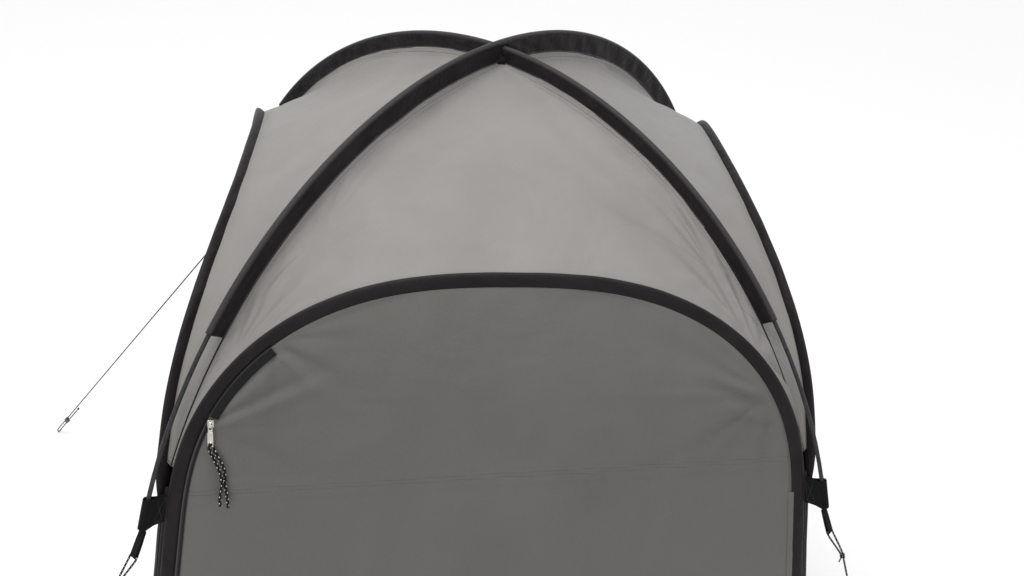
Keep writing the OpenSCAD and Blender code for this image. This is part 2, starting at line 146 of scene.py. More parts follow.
def bumps(made, shader, *layers):
    """Each layer is (height, distance, strength); they are laid over each other."""
    normal = None
    for height, distance, strength in layers:
        node = add(made, "Bump", Height=height, Distance=distance, Strength=strength)
        if normal:
            link(made, normal, node.inputs["Normal"])
        normal = node.outputs[0]
    link(made, normal, shader.inputs["Normal"])


def uv_of(made):
    return add(made, "TexCoord").outputs["UV"]


def parts_of(made, vector):
    node = add(made, "SeparateXYZ", Vector=vector)
    return node.outputs[0], node.outputs[1]


def threads(made, across, along, pitch):
    """Plain weave: crossing threads, each pitch wide."""
    turns = 2 * math.pi / pitch
    warp = math_node(made, "SINE", math_node(made, "MULTIPLY", across, turns))
    weft = math_node(made, "SINE", math_node(made, "MULTIPLY", along, turns))
    return math_node(made, "MULTIPLY", warp, weft)


def line_at(made, value, place, half_width):
    """1 where value is within half_width of place, falling off smoothly."""
    away = math_node(made, "ABSOLUTE", math_node(made, "SUBTRACT", value, place))
    node = add(made, "MapRange", {"interpolation_type": "SMOOTHSTEP"}, i0=away, i1=half_width * 0.5,
               i2=half_width, i3=1.0, i4=0.0)
    return node.outputs[0]


def dashes(made, along, pitch, share):
    part = math_node(made, "FRACT", math_node(made, "DIVIDE", along, pitch))
    return math_node(made, "LESS_THAN", part, share)


def panel_cloth(name, dark, light, thread):
    """Coated polyester: two greys, soft creases, a weave, and the sewn seam kept in the to_seam attribute, its
    two lines darkened with painted shade.
    """
    made, shader = material(name, Roughness=0.62, Sheen_Weight=0.08, Sheen_Roughness=0.5)
    shader.inputs["Specular IOR Level"].default_value = 0.25
    where = add(made, "TexCoord").outputs["Object"]
    across, along = parts_of(made, uv_of(made))
    blotch = noise(made, where, 2.6, 4, 0.6)
    streak = noise(made, where, 5, 5, 1.2, (1, 1, 0.35))
    tone = mix(made, 0.45, ramp(made, blotch, 0.3, 0.7, dark, light),
               ramp(made, streak, 0.3, 0.7, dark, light))
    gap = add(made, "Attribute", {"attribute_name": "to_seam"}).outputs["Fac"]
    upper, lower = line_at(made, gap, 0.006, 0.0022), line_at(made, gap, 0.0145, 0.0022)
    sewn = math_node(made, "MAXIMUM", upper, lower)
    stitch = math_node(made, "MULTIPLY", sewn, dashes(made, along, 0.0036, 0.72))
    # Painted shade: the two seam lines are darkened towards 0.45 of the dark grey; the thread dashes mixed in
    # next are the thread's own colour.
    tone = mix(made, math_node(made, "MULTIPLY", sewn, 0.55), tone, tuple(0.45 * v for v in dark))
    tone = mix(made, math_node(made, "MULTIPLY", stitch, 0.5), tone, thread)
    mottle = noise(made, where, 700, 2)
    tone = mix(made, 0.02, tone, ramp(made, mottle, 0.35, 0.65, (0, 0, 0), (0.8, 0.8, 0.8)))
    link(made, tone, shader.inputs["Base Color"])
    folded = add(made, "MapRange", {"interpolation_type": "SMOOTHSTEP"}, i0=gap, i1=0.019, i2=0.0165,
                 i3=0.0, i4=1.0).outputs[0]
    puckers = math_node(made, "MULTIPLY", noise(made, where, 45, 2, 1.5),
                        line_at(made, gap, 0.010, 0.03))
    bumps(made, shader, (noise(made, where, 3.2, 3, 1.4), 0.02, 0.35),
          (noise(made, where, 9, 2, 1.8), 0.006, 0.25),
          (folded, 0.0012, 0.8), (puckers, 0.0035, 0.5),
          (threads(made, across, along, 0.0009), 0.0001, 0.35))
    return made


def black_cloth(name, colour, seam_lines, thread, fold_shine=0.0):
    """Black binding cloth, its outer fold lightened by fold_shine as a painted highlight. UV is metres: across
    from the outer edge, and along the piece.
    """
    made, shader = material(name, Roughness=0.5, Sheen_Weight=0.04, Sheen_Roughness=0.4)
    shader.inputs["Specular IOR Level"].default_value = 0.11
    where = add(made, "TexCoord").outputs["Object"]
    across, along = parts_of(made, uv_of(made))
    tone = ramp(made, noise(made, where, 9, 4, 0.8), 0.3, 0.75, colour, tuple(1.9 * v for v in colour))
    # Painted highlight: the outer fold, up to 4 mm from the edge and fading out by 13 mm, is lightened towards
    # (0.042, 0.039, 0.039) by fold_shine.
    painted_fold_highlight = add(made, "MapRange", {"interpolation_type": "SMOOTHSTEP"}, i0=across, i1=0.004, i2=0.013,
               i3=fold_shine,
               i4=0.0).outputs[0]
    tone = mix(made, painted_fold_highlight, tone, (0.042, 0.039, 0.039))
    layers = [(noise(made, where, 22, 3, 2.2, (1, 1, 0.6)), 0.006, 0.45),
              (noise(made, where, 70, 3, 1.2), 0.0015, 0.4)]
    for place in seam_lines:
        line = line_at(made, across, place, 0.0008)
        stitch = math_node(made, "MULTIPLY", line, dashes(made, along, 0.0038, 0.7))
        tone = mix(made, math_node(made, "MULTIPLY", stitch, 0.75), tone, thread)
        layers.append((line_at(made, across, place, 0.0028), 0.0009, -0.7))
    link(made, tone, shader.inputs["Base Color"])
    layers.append((threads(made, across, along, 0.0008), 0.0001, 0.4))
    bumps(made, shader, *layers)
    return made


def webbing_cloth(name, colour):
    """Narrow woven webbing: ribs across it and a herringbone along it."""
    made, shader = material(name, Roughness=0.75, Sheen_Weight=0.03)
    shader.inputs["Specular IOR Level"].default_value = 0.04
    across, along = parts_of(made, uv_of(made))
    slanted = math_node(made, "PINGPONG", across, 0.004)
    ribs = math_node(made, "SINE", math_node(made, "MULTIPLY", math_node(made, "ADD", along, slanted),
                                             2 * math.pi / 0.0017))
    cords = math_node(made, "SINE", math_node(made, "MULTIPLY", across, 2 * math.pi / 0.0013))
    rough = noise(made, add(made, "TexCoord").outputs["Object"], 160, 3)
    tone = ramp(made, rough, 0.3, 0.8, colour, tuple(2.4 * v for v in colour))
    link(made, mix(made, math_node(made, "MULTIPLY", math_node(made, "MAXIMUM", ribs, 0.0), 0.35), tone,
                   tuple(3.2 * v for v in colour)), shader.inputs["Base Color"])
    bumps(made, shader, (ribs, 0.0003, 0.8), (cords, 0.0002, 0.6), (rough, 0.0004, 0.4))
    return made


def fleck_cord(name, colour, fleck, pitch):
    """Braided cord: slanted strands, with white flecks in a ring of two each pitch."""
    made, shader = material(name, Roughness=0.7)
    shader.inputs["Specular IOR Level"].default_value = 0.15
    round_, along = parts_of(made, uv_of(made))
    rise = math_node(made, "DIVIDE", along, pitch)
    left = math_node(made, "FRACT", math_node(made, "ADD", math_node(made, "MULTIPLY", round_, 2.0),
                                              rise))
    right = math_node(made, "FRACT", math_node(made, "SUBTRACT",
                                               math_node(made, "MULTIPLY", round_, 2.0), rise))
    both = math_node(made, "MINIMUM", line_at(made, left, 0.5, 0.19), line_at(made, right, 0.5, 0.19))
    strands = math_node(made, "SINE", math_node(made, "MULTIPLY", math_node(made, "ADD", math_node(
        made, "MULTIPLY", round_, 3.0), math_node(made, "MULTIPLY", rise, 3.0)), 2 * math.pi))
    crossed = math_node(made, "SINE", math_node(made, "MULTIPLY", math_node(made, "SUBTRACT", math_node(
        made, "MULTIPLY", round_, 3.0), math_node(made, "MULTIPLY", rise, 3.0)), 2 * math.pi))
    dark = mix(made, math_node(made, "MAXIMUM", strands, 0.0), colour, tuple(2.2 * v for v in colour))
    link(made, mix(made, both, dark, fleck), shader.inputs["Base Color"])
    bumps(made, shader, (math_node(made, "MULTIPLY", strands, crossed), 0.0005, 0.9))
    return made


def worn_metal(name, colour, roughness):
    made, shader = material(name, Metallic=1.0)
    where = add(made, "TexCoord").outputs["Object"]
    marks = noise(made, where, 420, 4, 0.4, (1, 1, 0.25))
    link(made, ramp(made, noise(made, where, 160, 3), 0.3, 0.8, colour,
                    tuple(min(1, 1.25 * v) for v in colour)),
         shader.inputs["Base Color"])
    spread = add(made, "MapRange", i0=marks, i1=0.3, i2=0.7, i3=roughness * 0.7,
                 i4=roughness * 1.5).outputs[0]
    link(made, spread, shader.inputs["Roughness"])
    bumps(made, shader, (marks, 0.0001, 0.4))
    return made


def moulded(name, colour, roughness, grain):
    made, shader = material(name)
    where = add(made, "TexCoord").outputs["Object"]
    speck = noise(made, where, grain, 4)
    link(made, ramp(made, speck, 0.25, 0.8, colour, tuple(1.8 * v for v in colour)),
         shader.inputs["Base Color"])
    link(made, add(made, "MapRange", i0=speck, i1=0.3, i2=0.7, i3=roughness * 0.8,
                   i4=roughness * 1.2).outputs[0],
         shader.inputs["Roughness"])
    bumps(made, shader, (speck, 0.0003, 0.3))
    return made


def pulled_rod(name):
    """Glass-fibre rod: fine streaks along the pole and a faint gloss."""
    made, shader = material(name)
    shader.inputs["Specular IOR Level"].default_value = 0.22
    where = add(made, "TexCoord").outputs["Object"]
    streak = noise(made, where, 60, 5, 0.0, (6, 6, 0.3))
    link(made, ramp(made, streak, 0.3, 0.75, (0.010, 0.010, 0.011), (0.035, 0.035, 0.037)),
         shader.inputs["Base Color"])
    link(made, add(made, "MapRange", i0=streak, i1=0.3, i2=0.7, i3=0.28, i4=0.45).outputs[0],
         shader.inputs["Roughness"])
    bumps(made, shader, (streak, 0.0002, 0.3))
    return made


ROOF = panel_cloth("roof_cloth", (0.172, 0.164, 0.156), (0.208, 0.200, 0.191), (0.27, 0.26, 0.25))
# The walls, door and hinge strip use a darker copy of the roof cloth: painted shade for light that falls from
# above.
SHADED_WALL_CLOTH = panel_cloth("wall_cloth_painted_shade", (0.088, 0.083, 0.077), (0.107, 0.102, 0.096), (0.13, 0.125, 0.12))
BLACK = black_cloth("binding_cloth", (0.0072, 0.0058, 0.0064), [0.0345], (0.03, 0.03, 0.03), 0.25)
SLEEVE = black_cloth("sleeve_cloth", (0.0095, 0.0075, 0.0088), [0.0350], (0.20, 0.19, 0.185), 0.7)
TAPE = black_cloth("zip_tape_cloth", (0.0065, 0.0060, 0.0060), [0.0025], (0.06, 0.06, 0.06))
WEBBING = webbing_cloth("black_webbing", (0.0035, 0.0035, 0.0037))
GUY_CORD = fleck_cord("guy_cord", (0.006, 0.006, 0.006), (0.72, 0.72, 0.70), 0.007)
PULL_CORD = fleck_cord("pull_cord", (0.006, 0.006, 0.006), (0.66, 0.65, 0.62), 0.0125)
NICKEL = worn_metal("plated_zip_metal", (0.50, 0.48, 0.43), 0.22)
STEEL = worn_metal("hoop_and_ferrule_steel", (0.52, 0.52, 0.53), 0.28)
ROD = pulled_rod("glass_fibre_rod")
PLASTIC = moulded("black_plastic", (0.018, 0.018, 0.019), 0.45, 90)
ELASTIC = moulded("elastic_cord_cover", (0.45, 0.45, 0.43), 0.7, 500)
COIL = moulded("zip_coil_nylon", (0.012, 0.012, 0.012), 0.4, 300)

# ---- the shelter's own shape, as in the part's source -----------------------------

HOOP_HALF, SHOULDER, RISE, POWER = 0.590, 1.360, 0.465, 2.65
LEAN, BOW, BOW_START = math.atan(0.1), 0.040, 1.568
BASE_HALF = HOOP_HALF + 0.1 * SHOULDER
WALL_Y = BASE_HALF + 0.020
UP, OUT = math.cos(LEAN), math.sin(LEAN)
SLOPE_SHOULDER, SLOPE_RISE, LEG_SLOPE = SHOULDER / UP, RISE / UP, 0.1 * UP
LEG_TURN = math.atan(LEG_SLOPE)
FOOT_H, CORNER_R = 0.017, 0.045
BAND_HALF, BAND_THICK = 0.013, 0.0065
WIRE_IN, WIRE_R = 0.005, 0.002
CLOTH_T = 0.0009
DOOR_IN = 0.0145
FOOT_R, FOOT_Z, APEX_Z, LIFT = 0.892, 1.396, 2.080, 0.014
TURNS = {"front": 0, "right": 90, "rear": 180, "left": 270}
CORNERS = {"front_left": -135, "front_right": -45, "rear_right": 45, "rear_left": 135}


def circle_of(apex):
    rise = apex - FOOT_Z
    return (FOOT_R ** 2 + rise ** 2) / (2 * rise)


R_LOWER, R_UPPER = circle_of(APEX_Z), circle_of(APEX_Z + LIFT)
HIP_R, HIP_Z = R_LOWER - 0.031, APEX_Z - R_LOWER


def turned(x, y, z, turn):
    c, s = math.cos(math.radians(turn)), math.sin(math.radians(turn))
    return np.stack([x * c - y * s, x * s + y * c, z], -1)


def bow(s):
    return BOW * (np.maximum(0, s - BOW_START) / (SLOPE_SHOULDER + SLOPE_RISE - BOW_START)) ** 2


def on_wall(turn, x, s, q):
    """A point of a wall: x along it, s up its slope, q outwards from its cloth."""
    x, s, q = np.broadcast_arrays(np.asarray(x, float), np.asarray(s, float), np.asarray(q, float))
    q = q - bow(s)
    return turned(x, -WALL_Y + s * OUT - q * UP, s * UP + q * OUT, turn)


def on_diagonal(turn, r, z, side=0.0):
    """A point over a corner: r from the middle of the shelter, z up, side across."""
    r, z, side = np.broadcast_arrays(np.asarray(r, float), np.asarray(z, float),
                                     np.asarray(side, float))
    return turned(r, -side, z, turn)


def arch(t):
    """The arch of a hoop at t radians from its right foot."""
    rise = SLOPE_RISE * np.abs(np.sin(t)) ** (2 / POWER)
    c = np.cos(t)
    return np.stack([(HOOP_HALF - LEG_SLOPE * rise) * np.sign(c) * np.abs(c) ** (2 / POWER),
                     SLOPE_SHOULDER + rise], -1)


def half_at(s):
    return BASE_HALF - LEG_SLOPE * s


def offset_line(line, off, closed=False):
    """The line moved to its right-hand side, which is outwards on a hoop run from right to left."""
    if closed:
        step = np.roll(line, -1, 0) - np.roll(line, 1, 0)
    else:
        step = np.gradient(line, axis=0)
    step /= np.linalg.norm(step, axis=1)[:, None]
    return line + np.asarray(off)[..., None] * np.stack([step[:, 1], -step[:, 0]], 1)


def right_side(arch_points=90, leg_points=60):
    """Right half of a hoop from its foot corner to the top of the arch."""
    turn = np.linspace(-math.pi / 2, LEG_TURN, 9)
    cy = FOOT_H + CORNER_R
    cx = half_at(cy) - CORNER_R / math.cos(LEG_TURN)
    corner = np.stack([cx + CORNER_R * np.cos(turn), cy + CORNER_R * np.sin(turn)], 1)
    s = np.linspace(corner[-1, 1], SLOPE_SHOULDER, leg_points)[1:-1]
    return np.concatenate([corner, np.stack([half_at(s), s], 1),
                           arch(np.linspace(0, math.pi / 2, arch_points))])


def hoop_line():
    half = right_side()
    left = half[-2::-1] * [-1, 1]
    foot = np.linspace(left[-1], half[0], 30)[1:-1]
    return np.concatenate([half, left, foot])


def waves(seed, places, longest, shortest, number=7):
    """Smooth seeded noise along a line or over a surface, from about -1 to 1."""
    rng = np.random.default_rng(seed)
    places = np.atleast_2d(np.asarray(places, float).T).T
    total = np.zeros(places.shape[:-1])
    for k in range(number):
        length = longest * (shortest / longest) ** (k / max(1, number - 1))
        aim = rng.normal(size=places.shape[-1])
        aim /= np.linalg.norm(aim)
        total += np.sin(places @ aim * 2 * math.pi / length + rng.uniform(0, 6.28)) * (0.82 ** k)
    return total / 2.6


def smooth(a):
    a = np.clip(a, 0, 1)
    return a * a * (3 - 2 * a)


# ---- making pieces ---------------------------------------------------------------------


def new_piece(name, verts, faces, uvs=None, material_=None):
    """uvs has one pair for each corner of each face, in the order of the faces."""
    mesh = bpy.data.meshes.new(name)
    mesh.from_pydata([tuple(map(float, v)) for v in verts], [], faces)
    if uvs is not None:
        layer = mesh.uv_layers.new(name="UVMap")
        layer.data.foreach_set("uv", np.asarray(uvs, np.float32).ravel())
    mesh.polygons.foreach_set("use_smooth", [True] * len(mesh.polygons))
    piece = bpy.data.objects.new(name, mesh)
    scene.collection.objects.link(piece)
    if material_:
        mesh.materials.append(material_)
    return piece


def grid_piece(name, points, uv, material_, wrap_rows=False, wrap_columns=False, caps=False):
    """A skin over rows and columns of points. uv has a further row or column where the skin closes on itself."""
    n, m = points.shape[:2]
    faces, uvs = [], []
    for i in range(n if wrap_rows else n - 1):
        for j in range(m if wrap_columns else m - 1):
            a, b = (i + 1) % n, (j + 1) % m
            faces.append((i * m + j, i * m + b, a * m + b, a * m + j))
            uvs += [uv[i, j], uv[i, j + 1], uv[i + 1, j + 1], uv[i + 1, j]]
    if caps:
        for row, order in ((0, range(m - 1, -1, -1)), (n - 1, range(m))):
            faces.append([row * m + j for j in order])
            uvs += [uv[row, j] for j in order]
    return new_piece(name, points.reshape(-1, 3), faces, uvs, material_)


def metres(points, axis):
    step = np.linalg.norm(np.diff(points, axis=axis), axis=-1)
    zero = np.zeros_like(np.take(step, [0], axis))
    return np.concatenate([zero, np.cumsum(step, axis)], axis)


def apply_modifiers(piece):
    bpy.ops.object.select_all(action="DESELECT")
    piece.select_set(True)
    bpy.context.view_layer.objects.active = piece
    for m in list(piece.modifiers):
        bpy.ops.object.modifier_apply(modifier=m.name)


def thicken(piece, thickness, offset=0.0):
    solid = piece.modifiers.new("thickness", "SOLIDIFY")
    solid.thickness, solid.offset, solid.use_even_offset = thickness, offset, True
    apply_modifiers(piece)
    return piece


def outwards(piece):
    bpy.ops.object.select_all(action="DESELECT")
    piece.select_set(True)
    bpy.context.view_layer.objects.active = piece
    bpy.ops.object.mode_set(mode="EDIT")
    bpy.ops.mesh.select_all(action="SELECT")
    bpy.ops.mesh.normals_make_consistent(inside=False)
    bpy.ops.object.mode_set(mode="OBJECT")
    return piece


def dress(piece, body, slot, *nodes):
    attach(piece, body)
    if nodes:
        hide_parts(*nodes)
    return piece


def sweep_axes(path):
    """Two directions across a path, carried along it without twist."""
    ahead = np.gradient(path, axis=0)
    ahead /= np.linalg.norm(ahead, axis=1)[:, None]
    side = np.zeros_like(path)
    v = np.cross(ahead[0], (0.31, 0.22, 0.92))
    for i, t in enumerate(ahead):
        v = v - (v @ t) * t
        v /= np.linalg.norm(v)
        side[i] = v
    return ahead, side, np.cross(ahead, side)


def smooth_route(points, spacing):
    """A smooth curve through the points, resampled evenly."""
    p = np.asarray(points, float)
    ends = np.concatenate([[2 * p[0] - p[1]], p, [2 * p[-1] - p[-2]]])
    out = []
    for i in range(1, len(ends) - 2):
        a, b, c, d = ends[i - 1:i + 3]
        gap = np.linalg.norm(c - b)
        m0 = (c - a) / max(np.linalg.norm(c - a), 1e-9) * gap
        m1 = (d - b) / max(np.linalg.norm(d - b), 1e-9) * gap
        t = np.linspace(0, 1, max(4, int(gap / spacing)), endpoint=False)[:, None]
        out.append((2 * t ** 3 - 3 * t ** 2 + 1) * b + (t ** 3 - 2 * t ** 2 + t) * m0
                   + (3 * t ** 2 - 2 * t ** 3) * c + (t ** 3 - t ** 2) * m1)
    return np.concatenate([*out, p[-1:]])


def tube(name, path, radius, material_, sides=12, lumps=0.0, closed=False):
    path = np.asarray(path, float)
    if closed:
        path = np.concatenate([path[-2:], path, path[:2]])
    _, side, up = sweep_axes(path)
    if closed:
        path, side, up = path[2:-2], side[2:-2], up[2:-2]
    angle = np.linspace(0, 2 * math.pi, sides, endpoint=False)
    run = metres(path, 0)
    rough = 1 + lumps * np.sin(run[:, None] * 2 * math.pi / 0.0035 + angle * 2)
    points = path[:, None] + radius * rough[..., None] * (
        side[:, None] * np.cos(angle)[:, None] + up[:, None] * np.sin(angle)[:, None])
    around = np.linspace(0, 1, sides + 1)
    uv = np.stack(np.meshgrid(around, np.append(run, run[-1] + np.linalg.norm(path[0] - path[-1]))
                              if closed else run), -1)
    return grid_piece(name, points, uv, material_, wrap_rows=closed, wrap_columns=True, caps=not closed)


# ---- cords ---------------------------------------------------------------------------

MM = 0.001
KNOT, RIBBON_EYE = np.array([952, 1290, 0.0]), np.array([916, 1329, 0.0])
STRAND_GAP, TAIL, RUNNER_UP, RUNNER_LEN = 9, 230, 95, 24


def peg_of(corner):
    return np.array([2036 if corner == "rear_left" else 1470, 6, 0.0])


def line_directions(peg):
    down = (peg - KNOT) / np.linalg.norm(peg - KNOT)
    return down, np.array([down[1], -down[0], 0])


def guy_route(peg):
    """Knot, loop through the ribbon, the run to the ground, the turn round the peg and the way back."""
    down, side = line_directions(peg)
    b = STRAND_GAP / 2
    turn_at = peg - b * down
    p = [KNOT + (-1, 2, 2.5), RIBBON_EYE + (5, -6, 8.2), RIBBON_EYE + (1.5, -1.5, 8.4),
         RIBBON_EYE + (0, 0, 3),
         RIBBON_EYE + (0, 0, -3), RIBBON_EYE + (1.5, -1.5, -8.4), RIBBON_EYE + (5, -6, -8.2),
         KNOT + (-1, 2, -2.5),
         KNOT + 8 * down + (0, 0, -1)]
    p += [KNOT + (turn_at - KNOT) * f for f in np.linspace(0.08, 0.94, 12)]
    p += [turn_at, turn_at + b * down + side * b * 0.6, turn_at + b * down + side * b * 1.4,
          turn_at + side * 2 * b]
    p += [turn_at + side * 2 * b - down * TAIL * f for f in (0.2, 0.4, 0.6, 0.8, 1.0)]
    return np.array(p)


def place_on_corner(points, turn):
    p = np.asarray(points, float) * MM
    return on_diagonal(turn, p[:, 0], p[:, 1], p[:, 2])


def knot_points(radius, number=72):
    t = np.linspace(0, 2 * math.pi, number, endpoint=False)
    p = np.stack([np.sin(t) + 2 * np.sin(2 * t), np.cos(t) - 2 * np.cos(2 * t), -1.3 * np.sin(3 * t)],
                 1)
    return p * radius / 3


def add_guy(corner, turn):
    peg = peg_of(corner)
    down, side = line_directions(peg)
    path = smooth_route(place_on_corner(guy_route(peg), turn), 0.006)
    line = tube("guy_line_" + corner, path, 0.0019, GUY_CORD, 10, 0.05)
    dress(line, "shell", "fleck_cord", "guy_" + corner)
    knot = knot_points(4.4) @ np.array([side, [0, 0, 1], down])
    eye_knot = tube("eye_knot_" + corner, place_on_corner(KNOT + knot, turn), 0.0018, GUY_CORD, 10,
                    closed=True)
    dress(eye_knot, "shell", "fleck_cord", "guy_knots")
    tail = smooth_route(place_on_corner([KNOT + (0, 0, 1), KNOT + 4 * down + 3 * side,
                                         KNOT + 9 * down + 7 * side + (0, 0, 1),
                                         KNOT + 14 * down + 10 * side + (0, 0, 2)], turn), 0.002)
    dress(tube("knot_tail_" + corner, tail, 0.0014, GUY_CORD, 10, 0.05), "shell", "fleck_cord",
          "guy_knots")
    stop_at = peg - (STRAND_GAP / 2) * down + side * STRAND_GAP - down * (TAIL + 2)
    knot = knot_points(3.0) @ np.array([side, [0, 0, 1], down])
    stopper = tube("stopper_knot_" + corner, place_on_corner(stop_at + knot, turn), 0.0017, GUY_CORD,
                   10, closed=True)
    dress(stopper, "shell", "fleck_cord", "guy_knots")
    return line, path, [eye_knot, stopper], "knot_tail_" + corner


guy_lines = {corner: add_guy(corner, turn) for corner, turn in CORNERS.items()}

SLIDER_S = 1.576 / UP
SLIDER_IN, BAIL_Q = 0.022, 0.0012 + 0.001 + 0.0004 + 0.005 + 0.0022


def slider_place():
    turn = math.pi - math.asin(((SLIDER_S - SLOPE_SHOULDER) / SLOPE_RISE) ** (POWER / 2))
    line = arch(np.array([turn - 0.003, turn, turn + 0.003]))
    return offset_line(line, -SLIDER_IN)[1]


SLIDER_AT = slider_place()


def at_slider(x, y, q):
    """A point given in millimetres from the slider's middle, with q out from the cloth in metres."""
    return on_wall(0, SLIDER_AT[0] + np.asarray(x) * MM, SLIDER_AT[1] + np.asarray(y) * MM, q)


PULL_D = 5.4
PULL_ROUTES = {
    "left": [[0, -37, 0], [-1, -37.6, 2.6], [-1.8, -40.4, 3.6], [-1.9, -46, 3.2], [0.5, -54, 1.8],
             [4.5, -64, 1], [9, -75, 1.4],
             [13.5, -87, 1.9], [17, -98, 2.4], [19, -109, 3], [19, -118, 2.8], [17.5, -128, 1.8],
             [15.5, -140, 1.2],
             [14.5, -151, 1.4], [15.5, -162, 1.6]],
    "right": [[0, -37, 0], [1, -37.6, -2.6], [1.8, -40.4, -3.6], [4, -46, -3], [8, -54, -0.6],
              [13, -64, 0.6], [18, -75, 0.4],
              [21.5, -87, -0.6], [23.4, -98, -1.4], [23, -109, -2], [23.2, -118, -1.8],
              [24.8, -128, -0.4],
              [26.5, -140, 0.8], [28, -152, 1.2], [28.5, -165, 1.5]]}
for hand, route in PULL_ROUTES.items():
    p = np.array(route)
    path = smooth_route(at_slider(p[:, 0], p[:, 1], BAIL_Q + (p[:, 2] - 0.4) * MM), 0.0015)
    cord = tube("pull_cord_" + hand, path, PULL_D / 2 * MM, PULL_CORD, 14, 0.05)
    dress(cord, "puller", "fleck_cord", "puller_cord")
knot = knot_points(5.2)
pull_knot = tube("pull_cord_knot", at_slider(knot[:, 0] + 21, knot[:, 1] * 0.9 - 113,
                                             BAIL_Q + knot[:, 2] * 0.8 * MM), 0.0019,
                 PULL_CORD, 12, closed=True)
dress(pull_knot, "puller", "fleck_cord", "puller_knot")

# ---- roof, walls and door: sheets of cloth ----------------------------------------------


def named_values(piece, name, values):
    layer = piece.data.attributes.new(name, "FLOAT", "POINT")
    layer.data.foreach_set("value", np.asarray(values, np.float32).ravel())


def surface_normals(points):
    across, along = np.gradient(points, axis=1), np.gradient(points, axis=0)
    n = np.cross(across, along)
    return n / np.maximum(np.linalg.norm(n, axis=-1), 1e-12)[..., None]


def fan_of_folds(x, y, at, reach, height, number, seed):
    """Pull folds that spread from a point where the cloth is held."""
    dx, dy = x - at[0], y - at[1]
    away, turn = np.hypot(dx, dy), np.arctan2(dy, dx)
    rng = np.random.default_rng(seed)
    total = np.zeros_like(x)
    for _ in range(number):
        k, start = rng.uniform(6, 22), rng.uniform(0, 6.28)
        total += np.sin(k * turn + start + 0.6 * np.sin(away * 9 + start))
    grow = 1 - np.exp(-(away / 0.05) ** 2)
    return height * total / math.sqrt(number) * grow * np.exp(-away / reach)


def fold(x, y, start, end, width, height):
    """One crease from a held point, dying out at its far end."""
    a, b = np.array(start), np.array(end)
    d = b - a
    long = np.linalg.norm(d)
    t = ((x - a[0]) * d[0] + (y - a[1]) * d[1]) / long ** 2
    off = ((x - a[0]) * -d[1] + (y - a[1]) * d[0]) / long
    spread = width * (0.45 + 0.9 * np.clip(t, 0, 1))
    profile = np.exp(-(off / spread) ** 2) - 0.55 * np.exp(-((off - 1.7 * spread) / spread) ** 2)
    return height * profile * smooth(t / 0.12 + 0.2) * smooth((1.15 - t) / 0.8)


def hip_foot(u, off=0.003, q=0.0):
    start = math.radians(9)
    t = math.pi - start - u * (math.pi - 2 * start)
    line = arch(np.linspace(0.001, math.pi - 0.001, 721))
    outer = offset_line(line, np.full(len(line), off))
    angle = np.linspace(0.001, math.pi - 0.001, 721)
    x, s = np.interp(t, angle, outer[:, 0]), np.interp(t, angle, outer[:, 1])
    return on_wall(0, x, s, q)


def roof_surface(u, v):
    """Straight from the arch to the top, lifted towards the hips to meet the seams under the poles."""
    u, v = u[..., None], v[..., None]
    foot = hip_foot(u[..., 0])
    ends = hip_foot(np.array([0.0, 1.0]))
    top = np.array([0, -0.001, HIP_Z + HIP_R])
    out = foot * (1 - v) + top * v
    for k, (side, near) in enumerate(((-1, (1 - u) ** 5), (1, u ** 5))):
        a0 = math.acos(min(1, (ends[k][2] - HIP_Z) / HIP_R))
        a = a0 * (1 - v[..., 0])
        s = HIP_R * np.sin(a) / math.sqrt(2)
        hip = np.stack([side * np.maximum(s - 0.0005, 0), -s - 0.0005, HIP_Z + HIP_R * np.cos(a)], -1)
        out = out + near * (hip - (ends[k] * (1 - v) + top * v))
    return out


def roof_panel(name, turn, seed, focus):
    """One quarter of the roof. Its first row is the turning that is sewn into the binding."""
    columns = np.linspace(0, 1, 121)
    rows = np.concatenate([[0], np.linspace(0, 1, 81) ** 0.9])
    u, v = np.meshgrid(columns, rows)
    flat = roof_surface(u, v)
    flat[0] = hip_foot(columns, q=0.001 if turn == 0 else 0.003)
    wide = np.linalg.norm(np.diff(flat, axis=1), axis=-1).sum(1)[:, None]
    edge = np.minimum(u, 1 - u) * wide
    x, y = (u - 0.5) * wide, v * 0.66
    y[0] -= 0.004
    held = smooth(edge / 0.05) * smooth(v / 0.06)
    where = np.stack([x, y], -1)
    lift = 0.0035 * waves(seed, where, 0.55, 0.16) + 0.0011 * waves(seed + 1, where, 0.14, 0.05)
    for at, reach, height in focus:
        lift += fan_of_folds(x, y, at, reach, height, 5, seed + int(900 * at[0]) + 1000)
    lift += 0.0012 * waves(seed + 3, y[..., None], 0.09, 0.03) * np.exp(-edge / 0.05)
    points = flat + surface_normals(flat) * (lift * held)[..., None]
    points = points @ np.array([[math.cos(math.radians(turn)), math.sin(math.radians(turn)), 0],
                                [-math.sin(math.radians(turn)), math.cos(math.radians(turn)), 0],
                                [0, 0, 1]])
    uv = np.stack([x, y], -1)
    piece = grid_piece(name, points, uv, ROOF)
    named_values(piece, "to_seam", edge)
    piece = thicken(piece, CLOTH_T)
    dress(piece, "shell", "roof_fabric", "roof_" + name.split("_")[-1])
    return piece


FRONT_FOLDS = [((-0.50, 0.02), 0.18, 0.0036), ((0.50, 0.02), 0.26, 0.0062),
               ((-0.33, 0.22), 0.12, 0.0018),
               ((0.40, 0.16), 0.16, 0.0034)]
SIDE_FOLDS = [((-0.50, 0.02), 0.16, 0.0024), ((0.50, 0.02), 0.16, 0.0024),
              ((-0.30, 0.30), 0.14, 0.0016),
              ((0.30, 0.30), 0.14, 0.0016)]
roof = {}
for k, (place, turn) in enumerate(TURNS.items()):
    roof[place] = roof_panel("roof_cloth_" + place, turn, 20 + 7 * k,
                             FRONT_FOLDS if place == "front" else SIDE_FOLDS)

SEAM_S, SEAM_RISE = 1.453, 0.022


